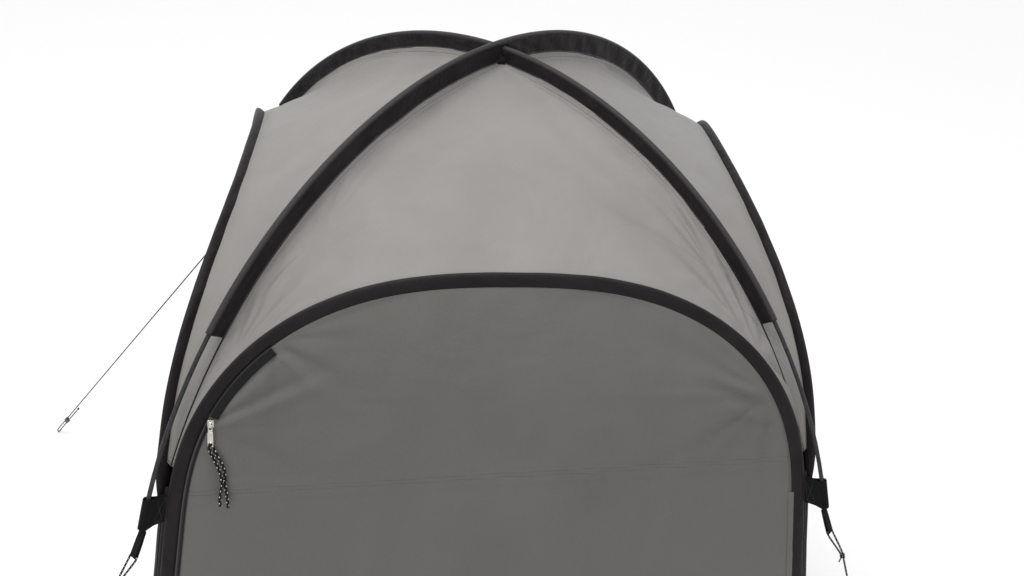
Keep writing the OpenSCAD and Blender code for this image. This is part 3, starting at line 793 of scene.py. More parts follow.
def wall_sheet(name, turn, inset, seed, creases, body, *nodes):
    """One wall or the door, from its foot to the arch, drawn tight with creases at its shoulders."""
    half = offset_line(right_side(), np.full(len(right_side()), -inset))
    half = half[(half[:, 0] > 0.002) | (np.arange(len(half)) < 20)]
    columns = np.linspace(-1, 1, 121)
    x, s = half[:, :1] * columns, half[:, 1:] + 0 * columns
    reach = half[:, 0:1]
    edge = np.minimum((1 - np.abs(columns)) * reach, np.maximum(half[-1, 1] - s, 0) + 0.01)
    held = smooth(edge / 0.045) * smooth((s - FOOT_H) / 0.1)
    where = np.stack([x, s], -1)
    lift = 0.0040 * waves(seed, where, 0.9, 0.25) + 0.0012 * waves(seed + 1, where, 0.2, 0.07)
    for at, far, height in creases.get("fans", []):
        lift = lift + fan_of_folds(x, s, at, far, height, 5, seed + 5)
    for start, end, width, height in creases.get("folds", []):
        lift = lift + fold(x, s, start, end, width, height)
    gap = s - (SEAM_S + SEAM_RISE * x / HOOP_HALF) + 0.010
    lift = lift + 0.0010 * np.exp(-(gap / 0.03) ** 2) * waves(seed + 8, x[..., None], 0.09, 0.03)
    points = on_wall(turn, x, s, lift * held)
    piece = grid_piece(name, points, np.stack([x, s], -1), SHADED_WALL_CLOTH)
    named_values(piece, "to_seam", gap)
    thicken(piece, CLOTH_T)
    dress(piece, body, "wall_fabric", *nodes)
    return piece


CREASES = {"fans": [((-0.52, 1.57), 0.13, 0.0024), ((-0.42, 1.73), 0.10, 0.0034),
                    ((0.50, 1.62), 0.16, 0.0042)],
           "folds": [((-0.525, 1.565), (-0.30, 1.66), 0.012, 0.0085),
                     ((-0.515, 1.585), (-0.40, 1.69), 0.010, 0.0050),
                     ((-0.415, 1.715), (-0.31, 1.60), 0.011, 0.0050),
                     ((0.515, 1.60), (0.33, 1.69), 0.014, 0.0075),
                     ((0.50, 1.64), (0.38, 1.75), 0.010, 0.0050),
                     ((0.535, 1.55), (0.40, 1.60), 0.010, 0.0045)]}
door = wall_sheet("door_cloth", 0, 0.0138, 61, CREASES, "door", "door_panel")
for k, place in enumerate(("right", "rear", "left")):
    wall = wall_sheet("wall_cloth_painted_shade_" + place, TURNS[place], 0.001, 75 + 9 * k,
                      {"fans": [((-0.50, 1.60), 0.16, 0.002), ((0.50, 1.60), 0.16, 0.002)]}, "shell",
                      "wall_" + place)

# ---- bindings round the hoops --------------------------------------------------------------


def hoop_binding(name, turn, seed, twists, lean, puff):
    """Folded cloth round a hoop's wire. Along the arch it leans outwards by lean, and the wire goes with it."""
    line = hoop_line()
    step = np.linalg.norm(np.roll(line, -1, 0) - line, axis=1)
    along = np.concatenate([[0], np.cumsum(step)])
    s = np.linspace(0, along[-1], 1100, endpoint=False)
    closed = np.concatenate([line, line[:1]])
    line = np.stack([np.interp(s, along, closed[:, 0]), np.interp(s, along, closed[:, 1])], 1)
    ahead = np.roll(line, -1, 0) - np.roll(line, 1, 0)
    ahead /= np.linalg.norm(ahead, axis=1)[:, None]
    out = np.stack([ahead[:, 1], -ahead[:, 0]], 1)
    phi = np.linspace(0, 2 * math.pi, 36, endpoint=False)
    ring = 2 * math.pi * s / along[-1]
    around = np.stack([np.cos(ring), np.sin(ring)], 1) * along[-1] / (2 * math.pi)
    wide = 1 - 0.035 * (1 + waves(seed, around, 0.5, 0.08))
    deep = puff + 0.10 * waves(seed + 1, around, 0.35, 0.05)
    full_lean = max(lean, 0.1)
    lean = lean * smooth((line[:, 1:] - SLOPE_SHOULDER + 0.02) / 0.14)
    inner = np.exp(-((phi - math.pi) / 0.75) ** 2) * (1 - lean / full_lean)
    twist = np.zeros(len(s))
    for centre, reach, amount in twists:
        twist += amount * np.exp(-((s - centre) / reach) ** 2)
    slant = phi[None] * 2 + s[:, None] * 2 * math.pi / 0.11
    ridge = np.sin(slant + 0.8 * waves(seed + 4, around, 0.3, 0.1)[:, None])
    soft = np.sin(phi[None] * 3 + 3.0 * waves(seed + 2, around, 0.25, 0.04)[:, None])
    scale = 1 - 0.055 * (1 + soft) * 0.5 - twist[:, None] * (0.5 + 0.5 * ridge)
    outer = 0.5 + 0.5 * np.cos(phi)
    a = BAND_HALF * np.cos(phi) * (1 - outer * (1 - wide[:, None] * (1 - 0.12 * (1 - scale))))
    b = BAND_THICK * deep[:, None] * np.sin(phi) * (1 - 0.5 * inner) * scale ** 1.6
    a = a + 0.0082 * lean
    wire_at = -WIRE_IN + 0.0057 * lean
    round_wire = 0.0031 * np.exp(-((a - wire_at) / 0.0042) ** 2)
    b = np.sign(np.sin(phi)) * np.maximum(np.abs(b), round_wire)
    a, b = a * np.cos(lean) - b * np.sin(lean), a * np.sin(lean) + b * np.cos(lean)
    points = on_wall(turn, line[:, 0:1] + out[:, 0:1] * a, line[:, 1:2] + out[:, 1:2] * a, b)
    half = np.append(phi, 2 * math.pi)
    across = 0.041 - np.abs(half - math.pi) / math.pi * 0.041
    uv = np.stack(np.broadcast_arrays(across[None], np.append(s, along[-1])[:, None]), -1)
    piece = grid_piece(name, points, uv, BLACK, wrap_rows=True, wrap_columns=True)
    outwards(piece)
    wire_off, wire_q = wire_at * np.cos(lean), wire_at * np.sin(lean)
    wire = on_wall(turn, line[:, 0:1] + out[:, 0:1] * wire_off, line[:, 1:2] + out[:, 1:2] * wire_off,
                   wire_q)[:, 0]
    place = name.split("_")[-1]
    dress(tube("hoop_wire_steel_" + place, wire[::2], WIRE_R, STEEL, 8, closed=True), "shell",
          "spring_wire",
          "hoop_wire_" + place)
    return piece


TWISTS = {"front": [(2.05, 0.13, 0.30), (1.78, 0.07, 0.16), (2.72, 0.12, 0.10)],
          "right": [(2.5, 0.2, 0.15)],
          "rear": [(1.9, 0.2, 0.15)], "left": [(2.0, 0.2, 0.15)]}
for k, (place, turn) in enumerate(TURNS.items()):
    dress(hoop_binding("hoop_binding_cloth_" + place, turn, 101 + 11 * k, TWISTS[place],
                       *((0.0, 0.80) if place == "front" else (1.05, 1.0))), "shell", "black_fabric",
          "hoop_binding_" + place)

# ---- pole sleeves -----------------------------------------------------------------------------


def on_pole(turn, radius, s, depth, side):
    """s along the pole from the crossing, depth in from the pole's middle, side across."""
    a = s / radius
    centre = FOOT_Z - radius * math.cos(math.asin(FOOT_R / radius))
    r = radius - depth
    return on_diagonal(turn, r * np.sin(a), centre + r * np.cos(a), side)


def sleeve(name, turn, radius, from_r, to_r, seed, lifted, crosses):
    """A flat sleeve with the pole in its outer fold. from_r and to_r are distances from the middle, signed."""
    s = np.linspace(radius * math.asin(from_r / radius), radius * math.asin(to_r / radius),
                    int(abs(to_r - from_r) / 0.004) + 2)
    bore, outer = 0.0057, 0.0073
    drop = 0.0315 + (LIFT * np.clip(1 - (s / 1.05) ** 2, 0, 1) if lifted else 0 * s)
    if crosses:
        drop = 0.0083 + (drop - 0.0083) * smooth((np.abs(s) - 0.0085) / 0.005)
    turn_end = math.radians(112)
    head = np.linspace(-turn_end, turn_end, 21)
    points, flat = [], []
    sway = waves(seed, s, 0.30, 0.06)
    puff = waves(seed + 1, s, 0.16, 0.03)
    for i in range(len(s)):
        depth_end = drop[i]
        d0 = outer * -math.cos(turn_end)
        fall = np.linspace(0.12, 1, 9)
        depth = d0 + (depth_end - d0) * fall
        thick = outer * math.sin(turn_end) * (1 - fall) ** 1.5 * (1 + 0.25 * puff[i]) + 0.0011
        crease = 0.0016 * np.sin(s[i] * 2 * math.pi / 0.085 + fall * 3.0 + 2 * sway[i]) * fall * (1 - fall) * 3
        gathered = math.exp(-(s[i] / 0.09) ** 2)
        crease += 0.0030 * gathered * np.sin(fall * 7 + s[i] * 95) * fall * (1 - fall) * 3
        drift = 0.0030 * sway[i] * fall * (1 - 0.6 * fall)
        side = np.concatenate([outer * np.sin(head), thick + crease + drift,
                               (-thick + crease + drift)[::-1]])
        down = np.concatenate([-outer * np.cos(head), depth, depth[::-1]])
        points.append(on_pole(turn, radius, np.full(len(side), s[i]), down, side))
        flat.append(np.concatenate([np.abs(head) * outer, 0.0138 + fall * 0.0225,
                                    (0.0138 + fall * 0.0225)[::-1]]))
    points, across = np.array(points), np.array(flat)
    m = points.shape[1]
    rows = np.linspace(0, 1, 40)
    inner = []
    for f in rows[::-1]:
        at = s[0] + (s[-1] - s[0]) * f
        order = np.interp(np.arange(m), [0, 10, 20, m - 1],
                          [-turn_end, 0, turn_end, 2 * math.pi - turn_end - 0.05])
        inner.append(on_pole(turn, radius, np.full(m, at), -bore * np.cos(order), bore * np.sin(order)))
    skin = np.concatenate([points, np.array(inner)])
    across = np.concatenate([across, np.tile(across[:1], (len(inner), 1))])
    across = np.concatenate([across, across[:, :1]], 1)
    along = np.concatenate([s, [s[0] + (s[-1] - s[0]) * f for f in rows[::-1]], s[:1]])
    uv = np.stack(np.broadcast_arrays(np.concatenate([across, across[:1]]), along[:, None]), -1)
    return outwards(grid_piece(name, skin, uv, SLEEVE, wrap_rows=True, wrap_columns=True))


END_R = 0.735
dress(sleeve("upper_pole_sleeve", -135, R_UPPER, -END_R, END_R + 0.012, 140, True, True), "shell",
      "black_fabric",
      "sleeve_front_left", "crossing_cover", "sleeve_rear_right")
dress(sleeve("lower_pole_sleeve_front", -45, R_LOWER, 0.0004, END_R - 0.008, 151, False, False),
      "shell", "black_fabric",
      "sleeve_front_right")
dress(sleeve("lower_pole_sleeve_rear", 135, R_LOWER, 0.0004, END_R, 163, False, False), "shell",
      "black_fabric",
      "sleeve_rear_left")


def crossing_gusset():
    """Gathered cloth under the crossing that closes the top of the roof."""
    angle = np.linspace(0, 2 * math.pi, 32, endpoint=False)
    rows = []
    for z, reach, fold_ in ((-0.034, 0.001, 0), (-0.033, 0.014, 0.3), (-0.022, 0.0125, 0.35),
                            (-0.012, 0.0095, 0.25),
                            (-0.004, 0.0075, 0.1), (0.002, 0.006, 0), (0.003, 0.001, 0)):
        r = reach * (1 - fold_ * 0.5 * (1 + np.cos(4 * angle)))
        rows.append(np.stack([r * np.cos(angle), r * np.sin(angle), np.full(32, APEX_Z + z)], -1))
    uv = np.stack(np.broadcast_arrays(np.linspace(0.03, 0.05, 33)[None],
                                      np.linspace(0, 0.04, 7)[:, None]), -1)
    piece = outwards(grid_piece("crossing_gusset", np.array(rows), uv, SLEEVE, wrap_columns=True,
                                caps=True))
    dress(piece, "shell", "black_fabric")


crossing_gusset()


def hip_seam(corner, turn):
    """Folded seam under each pole, from the sleeve's end down to the corner."""
    v = np.linspace(0, 0.45, 50)
    edge = roof_surface(np.ones_like(v), v)
    line = edge @ np.array([[math.cos(math.radians(turn + 45)), math.sin(math.radians(turn + 45)), 0],
                            [-math.sin(math.radians(turn + 45)), math.cos(math.radians(turn + 45)), 0],
                            [0, 0, 1]])
    return tube("hip_seam_" + corner, line, 0.0019, BLACK, 8)


for corner, turn in CORNERS.items():
    dress(hip_seam(corner, turn), "shell", "black_fabric")

# ---- webbing: pockets, ribbons, ground band and peg loops -------------------------------------


def strap(name, middle, across_from, across_to, thickness, material_, steps=7, closed=False):
    """A flat strap: the middle line is swept from one edge to the other, then given its thickness."""
    f = np.linspace(0, 1, steps)[None, :, None]
    points = across_from[:, None] * (1 - f) + across_to[:, None] * f
    run = metres(middle, 0)
    wide = np.linalg.norm(across_to[0] - across_from[0])
    if closed:
        run = np.append(run, run[-1] + np.linalg.norm(middle[0] - middle[-1]))
    uv = np.stack(np.broadcast_arrays(np.linspace(0, wide, steps)[None], run[:, None]), -1)
    piece = grid_piece(name, points, uv, material_, wrap_rows=closed)
    solid = piece.modifiers.new("thickness", "SOLIDIFY")
    solid.thickness, solid.offset = thickness, 0
    soft = piece.modifiers.new("soft_edge", "BEVEL")
    soft.width, soft.segments, soft.limit_method, soft.angle_limit = thickness * 0.35, 2, "ANGLE", 0.9
    apply_modifiers(piece)
    return piece


def at_foot(turn, radius, x, y, side):
    """Millimetres at a pole's foot: x outwards, y up along the pole, side across."""
    a = math.asin(FOOT_R / radius)
    ox, oy = math.sin(a), math.cos(a)
    return on_diagonal(turn, FOOT_R + (x * ox - y * oy) * MM, FOOT_Z + (x * oy + y * ox) * MM,
                       side * MM)


def pocket(corner, turn, radius):
    """Wide webbing folded round the pole's end, sewn to itself and to the corner."""
    wrap = np.linspace(-math.radians(128), math.radians(128), 25)
    r, flat_at = 7.9, 1.25
    x = np.concatenate([np.linspace(-41, -10, 12), r * np.cos(wrap), np.linspace(-10, -41, 12)])
    side = np.concatenate([np.interp(np.linspace(-41, -10, 12), [-41, -20, -10],
                                     [-flat_at, -flat_at, -4.3]),
                           r * np.sin(wrap), np.interp(np.linspace(-10, -41, 12), [-41, -20, -10],
                                                       [flat_at, flat_at, 4.3])])
    # the lower edge hangs straight off the corner, the outer end tips up with the pole
    low = at_foot(turn, radius, x, np.full(len(x), -20.0) + 0.8 * np.sin(x / 9), side)
    high = at_foot(turn, radius, x, np.full(len(x), 38.0) + 0.8 * np.sin(x / 7 + 1), side)
    piece = strap("pocket_strap_" + corner, (low + high) / 2, low, high, 0.0020, WEBBING, 15)
    dress(piece, "shell", "webbing", "pocket_" + corner)
    turn_ = np.linspace(0, 2 * math.pi, 24, endpoint=False)
    rows = []
    for y, rim in ((-16.5, 0.05), (-16.5, 5.6), (-17.4, 6.6), (-19.4, 6.6), (-20.4, 5.6),
                   (-20.4, 0.05)):
        rows.append(at_foot(turn, radius, rim * np.cos(turn_), np.full(24, y), rim * np.sin(turn_)))
    pad = np.array(rows)
    uv = np.stack(np.broadcast_arrays(np.linspace(0, 0.04, 25)[None],
                                      np.linspace(0, 0.015, 6)[:, None]), -1)
    base = outwards(grid_piece("pocket_base_" + corner, pad, uv, WEBBING, wrap_columns=True, caps=True))
    dress(base, "shell", "webbing", "pocket_" + corner)
    sewing("pocket_stitches_" + corner, turn, radius)


def sewing(name, turn, radius):
    """A boxed cross of thread on both faces of a pocket."""
    box = [(-36, -14), (-18, -14), (-18, 32), (-36, 32), (-36, -14), (-18, 32), (-36, 32), (-18, -14)]
    stitches = []
    for face in (-1, 1):
        for a, b in zip(box[:-1], box[1:]):
            a, b = np.array(a, float), np.array(b, float)
            number = int(np.linalg.norm(b - a) / 3.6)
            for i in range(number):
                p, q = a + (b - a) * (i + 0.12) / number, a + (b - a) * (i + 0.82) / number
                side = face * 2.5
                line = at_foot(turn, radius, np.array([p[0], (p[0] + q[0]) / 2, q[0]]),
                               np.array([p[1], (p[1] + q[1]) / 2, q[1]]),
                               np.array([side - face * 0.3, side, side - face * 0.3]))
                stitches.append(line)
    verts, faces = [], []
    for line in stitches:
        _, side, up = sweep_axes(line)
        start = len(verts)
        for p, s, u in zip(line, side, up):
            verts += [p + 0.00035 * (s * math.cos(k) + u * math.sin(k)) for k in np.linspace(0,
                    2 * math.pi, 5)[:-1]]
        for r in range(2):
            for k in range(4):
                faces.append((start + r * 4 + k, start + r * 4 + (k + 1) % 4,
                              start + r * 4 + 4 + (k + 1) % 4,
                              start + r * 4 + 4 + k))
        faces += [(start + 3, start + 2, start + 1, start),
                  (start + 8, start + 9, start + 10, start + 11)]
    piece = new_piece(name, verts, faces, None, THREAD)
    outwards(piece)
    dress(piece, "shell", "webbing")


def ribbon(corner, turn):
    """Narrow ribbon doubled into a loop that holds the guy line."""
    tilt = math.radians(25)
    bend = np.linspace(0, math.pi, 11)
    x = np.concatenate([np.linspace(2.65, 2.65, 10), 2.65 * np.cos(bend),
                        np.linspace(-2.65, -2.65, 10)])
    y = np.concatenate([np.linspace(1, -47, 10), -48 - 2.65 * np.sin(bend), np.linspace(-47, 1, 10)])
    x = x * np.interp(y, [-50, -30, 1], [1, 1, 0.5])
    r = 896 + x * math.cos(tilt) - y * math.sin(tilt)
    z = 1372 + x * math.sin(tilt) + y * math.cos(tilt)
    edge = [on_diagonal(turn, r * MM, z * MM, side * MM) for side in (-7.8, 7.8)]
    piece = strap("ribbon_loop_" + corner, (edge[0] + edge[1]) / 2, edge[0], edge[1], 0.0013, WEBBING,
                  7)
    dress(piece, "shell", "webbing", "ribbon_" + corner)


THREAD = moulded("sewing_thread", (0.030, 0.029, 0.029), 0.6, 900)
for corner, turn in CORNERS.items():
    radius = R_UPPER if corner in ("front_left", "rear_right") else R_LOWER
    pocket(corner, turn, radius)
    ribbon(corner, turn)


BAND_OUT = WALL_Y + BAND_THICK + 0.002
BAND_W, BAND_T = 0.040, 0.0055


def ground_band():
    """Webbing laid flat round the foot, with mitred corners."""
    bpy.ops.mesh.primitive_plane_add(size=2 * BAND_OUT, location=(0, 0, 0.0004))
    band = bpy.context.object
    band.name = "ground_band_webbing"
    bpy.ops.object.transform_apply(location=True)
    bpy.ops.object.mode_set(mode="EDIT")
    bpy.ops.mesh.inset(thickness=BAND_W)
    bpy.ops.mesh.delete(type="FACE")
    bpy.ops.mesh.select_all(action="SELECT")
    bpy.ops.mesh.subdivide(number_cuts=6)
    bpy.ops.mesh.extrude_region_move(TRANSFORM_OT_translate={"value": (0, 0, BAND_T - 0.0006)})
    bpy.ops.mesh.select_all(action="SELECT")
    bpy.ops.mesh.normals_make_consistent(inside=False)
    bpy.ops.object.mode_set(mode="OBJECT")
    soft = band.modifiers.new("soft_edge", "BEVEL")
    soft.width, soft.segments, soft.limit_method, soft.angle_limit = 0.0008, 2, "ANGLE", 0.9
    apply_modifiers(band)
    layer = band.data.uv_layers.active or band.data.uv_layers.new(name="UVMap")
    for loop in band.data.loops:
        x, y, _ = band.data.vertices[loop.vertex_index].co
        layer.data[loop.index].uv = (abs(y), x) if abs(y) > abs(x) else (abs(x), y)
    band.data.materials.clear()
    band.data.materials.append(WEBBING)
    dress(band, "shell", "webbing", "ground_band")


def peg_loop(corner, turn):
    """Corner loop with a metal eyelet for a ground peg."""
    reach, long, wide = BAND_OUT * math.sqrt(2) + 0.0005, 0.060, 0.025
    eye = reach + long - wide / 2
    ring = np.linspace(0, 2 * math.pi, 48, endpoint=False)
    outer = np.stack([eye + wide / 2 * np.cos(ring), wide / 2 * np.sin(ring)], 1)
    outer[:, 0] = np.where(np.cos(ring) < 0, np.interp(np.cos(ring), [-1, 0], [reach - 0.012, eye]),
                           outer[:, 0])
    back = np.cos(ring) < 0
    outer[back, 1] = np.sign(np.sin(ring[back]) + 1e-9) * wide / 2 * np.minimum(1,
            1.2 * np.abs(np.sin(ring[back])) + 0.25)
    inner = np.stack([eye + 0.0062 * np.cos(ring), 0.0062 * np.sin(ring)], 1)
    f = np.linspace(0, 1, 6)[:, None, None]
    flat = outer[None] * (1 - f) + inner[None] * f
    lift = 0.0016 + 0.0006 * smooth((reach + 0.005 - flat[..., 0]) / 0.01)
    c, s = math.cos(math.radians(turn)), math.sin(math.radians(turn))
    points = np.stack([flat[..., 0] * c - flat[..., 1] * s, flat[..., 0] * s + flat[..., 1] * c, lift],
                      -1)
    uv = np.stack([flat[..., 1], flat[..., 0]], -1)
    uv = np.concatenate([uv, uv[:, :1]], 1)
    piece = grid_piece("peg_loop_webbing_" + corner, points, uv, WEBBING, wrap_columns=True)
    thicken(piece, 0.0022)
    dress(piece, "shell", "webbing", "peg_loops")
    bpy.ops.mesh.primitive_torus_add(major_radius=0.0072, minor_radius=0.0012, major_segments=32,
                                     minor_segments=10,
                                     location=(eye * c, eye * s, 0.0016))
    ring_ = bpy.context.object
    ring_.name = "peg_eyelet_" + corner
    bpy.ops.object.mode_set(mode="EDIT")
    bpy.ops.transform.resize(value=(1, 1, 1.25))
    bpy.ops.object.mode_set(mode="OBJECT")
    bpy.ops.object.transform_apply(location=True)
    bpy.ops.object.shade_smooth()
    ring_.data.materials.append(STEEL)
    dress(ring_, "shell", "webbing", "peg_loops")


ground_band()
for corner, turn in CORNERS.items():
    peg_loop(corner, turn)

# ---- runners on the guy lines --------------------------------------------------------------------


def runner_template():
    """A rounded grip with two bores for the strands, its length along local Z."""
    bpy.ops.mesh.primitive_cube_add(size=1)
    grip = bpy.context.object
    grip.scale = ((STRAND_GAP + 8) * MM, 8 * MM, RUNNER_LEN * MM)
    bpy.ops.object.transform_apply(scale=True)
    bpy.ops.object.mode_set(mode="EDIT")
    bpy.ops.mesh.subdivide(number_cuts=5)
    bpy.ops.object.mode_set(mode="OBJECT")
    for v in grip.data.vertices:
        waist = 1 - 0.14 * math.cos(v.co.z / (RUNNER_LEN * MM) * math.pi)
        v.co.y *= waist
    soft = grip.modifiers.new("round", "BEVEL")
    soft.width, soft.segments, soft.limit_method, soft.angle_limit = 0.0026, 4, "ANGLE", 0.8
    cutters = []
    for x in (-STRAND_GAP / 2, STRAND_GAP / 2):
        bpy.ops.mesh.primitive_cylinder_add(vertices=24, radius=0.0021, depth=0.05,
                                            location=(x * MM, 0, 0))
        cutters.append(bpy.context.object)
        cut = grip.modifiers.new("bore", "BOOLEAN")
        cut.object, cut.solver = cutters[-1], "EXACT"
    apply_modifiers(grip)
    for c in cutters:
        bpy.data.objects.remove(c)
    bpy.ops.object.select_all(action="DESELECT")
    grip.select_set(True)
    bpy.context.view_layer.objects.active = grip
    bpy.ops.object.shade_smooth_by_angle(angle=0.7)
    grip.data.materials.clear()
    grip.data.materials.append(PLASTIC)
    return grip


template = runner_template()
for corner, turn in CORNERS.items():
    peg = peg_of(corner)
    down, side = line_directions(peg)
    middle = peg - (STRAND_GAP / 2) * down - (RUNNER_UP + RUNNER_LEN / 2) * down + side * STRAND_GAP / 2
    axes = [place_on_corner([v], turn)[0] - place_on_corner([(0, 0, 0)], turn)[0] for v in
            (np.array(side) * 1000, (0, 0, 1000.0), np.cross(side, (0, 0, 1.0)) * 1000)]
    mesh = template.data.copy()
    mesh.transform(Matrix(np.array(axes).T.tolist()).to_4x4())
    mesh.transform(Matrix.Translation(place_on_corner([middle], turn)[0]))
    grip = bpy.data.objects.new("line_runner_" + corner, mesh)
    scene.collection.objects.link(grip)
    if np.linalg.det(np.array(axes)) < 0:
        mesh.flip_normals()
    dress(grip, "runner_" + corner, "black_plastic", "runner_" + corner)
bpy.data.objects.remove(template)

# ---- zip ------------------------------------------------------------------------------------------


def left_line(off, from_t, to_t, number):
    t = np.linspace(from_t, to_t, number)
    line = arch(t)
    ahead = arch(t + 0.001) - arch(t - 0.001)
    ahead /= np.linalg.norm(ahead, axis=1)[:, None]
    return line + off * np.stack([ahead[:, 1], -ahead[:, 0]], 1)


SLIDER_T = math.pi - math.asin(((SLIDER_S - SLOPE_SHOULDER) / SLOPE_RISE) ** (POWER / 2))
FLAP_T = math.pi - math.acos((0.425 / (HOOP_HALF - LEG_SLOPE * SLOPE_RISE * 0.8)) ** (POWER / 2))


def zip_line(off, end_t, number=160, foot=0.07):
    upper = left_line(off, math.pi - 0.004, end_t, number)
    s = np.linspace(foot, upper[0, 1] - 0.02, 60)
    return np.concatenate([np.stack([-half_at(s) - off, s], 1), upper])


def zip_strip(name, off_a, off_b, end_t, q, thickness, body, slot, node, wave=0.0):
    a, b = zip_line(off_a, end_t), zip_line(off_b, end_t)
    f = np.linspace(0, 1, 6)[None, :, None]
    flat = a[:, None] * (1 - f) + b[:, None] * f
    lift = q + wave * waves(211, metres(a, 0), 0.2, 0.03)[:, None] * f[..., 0]
    points = on_wall(0, flat[..., 0], flat[..., 1], lift)
    uv = np.stack(np.broadcast_arrays(f[0, :, 0][None] * abs(off_a - off_b), metres(a, 0)[:, None]), -1)
    piece = grid_piece(name, points, uv, TAPE)
    thicken(piece, thickness)
    dress(piece, body, slot, node)
    return piece


zip_strip("door_zip_tape_cloth", -DOOR_IN - 0.0005, -DOOR_IN - 0.0075, SLIDER_T, 0.0019, 0.0009, "door",
          "zip_tape",
          "door_zip_tape")
zip_strip("frame_zip_tape_cloth", -0.0120, -0.0235, FLAP_T, -0.0034, 0.0009, "shell", "zip_tape",
          "frame_zip_tape")


def flap():
    """Doubled strip that covers the top stretch of the zip, cut square at its upper end."""
    number = 120
    outer = left_line(-DOOR_IN + 0.0035, SLIDER_T - 0.03, FLAP_T, number)
    inner = left_line(-DOOR_IN - 0.0150, SLIDER_T - 0.03, FLAP_T, number)
    run = metres(outer, 0)
    f = np.linspace(0, 1, 9)[None, :, None]
    flat = outer[:, None] * (1 - f) + inner[:, None] * f
    g = f[..., 0]
    lift = 0.0030 + 0.0012 * np.sin(math.pi * g) + 0.0007 * waves(223, run, 0.12, 0.03)[:, None] * g
    points = on_wall(0, flat[..., 0], flat[..., 1], lift)
    uv = np.stack(np.broadcast_arrays(g * 0.018, run[:, None]), -1)
    piece = grid_piece("zip_flap_cloth", points, uv, TAPE)
    thicken(piece, 0.0016)
    dress(piece, "door", "zip_tape", "zip_flap")


def coil():
    """The zip's own coil, closed along the edge of the door up to the slider."""
    line = zip_line(-DOOR_IN - 0.0005, SLIDER_T + 0.02, 120)
    run = metres(line, 0)
    even = np.arange(0, run[-1], 0.0016)
    x, s = np.interp(even, run, line[:, 0]), np.interp(even, run, line[:, 1])
    angle = np.linspace(0, 2 * math.pi, 8, endpoint=False)
    swell = 0.0016 + 0.00035 * (np.arange(len(even)) % 2)
    out = offset_line(np.stack([x, s], 1), np.ones(len(x))) - np.stack([x, s], 1)
    a = swell[:, None] * np.cos(angle)
    points = on_wall(0, x[:, None] + out[:, :1] * a, s[:, None] + out[:, 1:] * a,
                     0.0033 + 0.6 * swell[:, None] * np.sin(angle))
    uv = np.stack(np.broadcast_arrays(np.linspace(0, 1, 9)[None], even[:, None]), -1)
    piece = outwards(grid_piece("zip_coil", points, uv, COIL, wrap_columns=True, caps=True))
    dress(piece, "door", "zip_tape")


flap()
coil()


def to_slider(piece):
    """Moves a piece made flat at the origin, X along the wall, Y up it and Z out, to the slider's place."""
    corner = at_slider(0, 0, 0.0)
    axes = Matrix(((1, 0, 0), (0, OUT, -UP), (0, UP, OUT)))
    piece.data.transform(Matrix.Translation(corner) @ axes.to_4x4())
    piece.data.update()


def box_piece(name, x, y, z, size, bevel, segments=3):
    bpy.ops.mesh.primitive_cube_add(size=1, location=(x * MM, y * MM, z * MM))
    made = bpy.context.object
    made.name = name
    made.scale = tuple(v * MM for v in size)
    bpy.ops.object.transform_apply(location=True, scale=True)
    soft = made.modifiers.new("edges", "BEVEL")
    soft.width, soft.segments, soft.limit_method = bevel * MM, segments, "ANGLE"
    apply_modifiers(made)
    return made


def joined(name, pieces, smooth_angle=0.6):
    bpy.ops.object.select_all(action="DESELECT")
    for p in pieces:
        p.select_set(True)
    bpy.context.view_layer.objects.active = pieces[0]
    bpy.ops.object.join()
    made = bpy.context.object
    made.name = name
    bpy.ops.object.shade_smooth_by_angle(angle=smooth_angle)
    made.data.materials.clear()
    made.data.materials.append(NICKEL)
    return made


def cut(piece, cutter):
    mod = piece.modifiers.new("cut", "BOOLEAN")
    mod.object, mod.solver = cutter, "EXACT"
    apply_modifiers(piece)
    bpy.data.objects.remove(cutter)


def ring_of(name, at, axis_turn, major, minor, squash):
    bpy.ops.mesh.primitive_torus_add(major_radius=major, minor_radius=minor, major_segments=40,
                                     minor_segments=12,
                                     location=at, rotation=axis_turn)
    made = bpy.context.object
    made.name = name
    bpy.ops.object.transform_apply(location=True, rotation=True)
    for v in made.data.vertices:
        v.co = [c + (p - c) * k for p, c, k in zip(v.co, at, squash)]
    return made


def hole_at(y, radius, long=1.0):
    bpy.ops.mesh.primitive_cylinder_add(vertices=40, radius=radius, depth=0.02,
                                        location=(0, y * MM, BAIL_Q))
    hole = bpy.context.object
    hole.scale = (1, long, 1)
    bpy.ops.object.transform_apply(location=False, scale=True)
    return hole


def zip_slider():
    top = box_piece("slider_top", 0, 0.5, 5.9, (12.6, 14.5, 1.8), 0.8)
    for v in top.data.vertices:
        y = v.co.y / MM
        v.co.x *= float(np.interp(y, [-7, -3, 2, 7.6], [0.60, 0.74, 1.0, 0.72]))
        v.co.z += 0.0009 * math.cos(v.co.x / 0.0063 * 1.5)
    bottom = box_piece("slider_bottom", 0, 0.5, 3.0, (11.6, 14.4, 1.2), 0.5)
    post = box_piece("slider_post", 0, 5.0, 4.4, (3.4, 4, 2.6), 0.6)
    rails = [box_piece("slider_rail", side * 5.2, 0.6, 4.2, (1.2, 9, 2.6), 0.45) for side in (-1, 1)]
    # the bridge that the puller hangs from: an arched strip from front to back
    bridge = ring_of("slider_bridge", (0, 0.0008, 0.0064), (0, math.pi / 2, 0), 0.0044, 0.0011,
                     (2.0, 1.3, 1.05))
    for v in bridge.data.vertices:
        v.co.z = max(v.co.z, 0.0058)
    knob = box_piece("slider_crown", 0, 5.6, 8.0, (5.4, 3.6, 2.6), 1.0)
    made = joined("zip_slider_body", [top, bottom, post, *rails, bridge, knob])
    to_slider(made)
    dress(made, "slider", "zip_metal", "zip_slider")


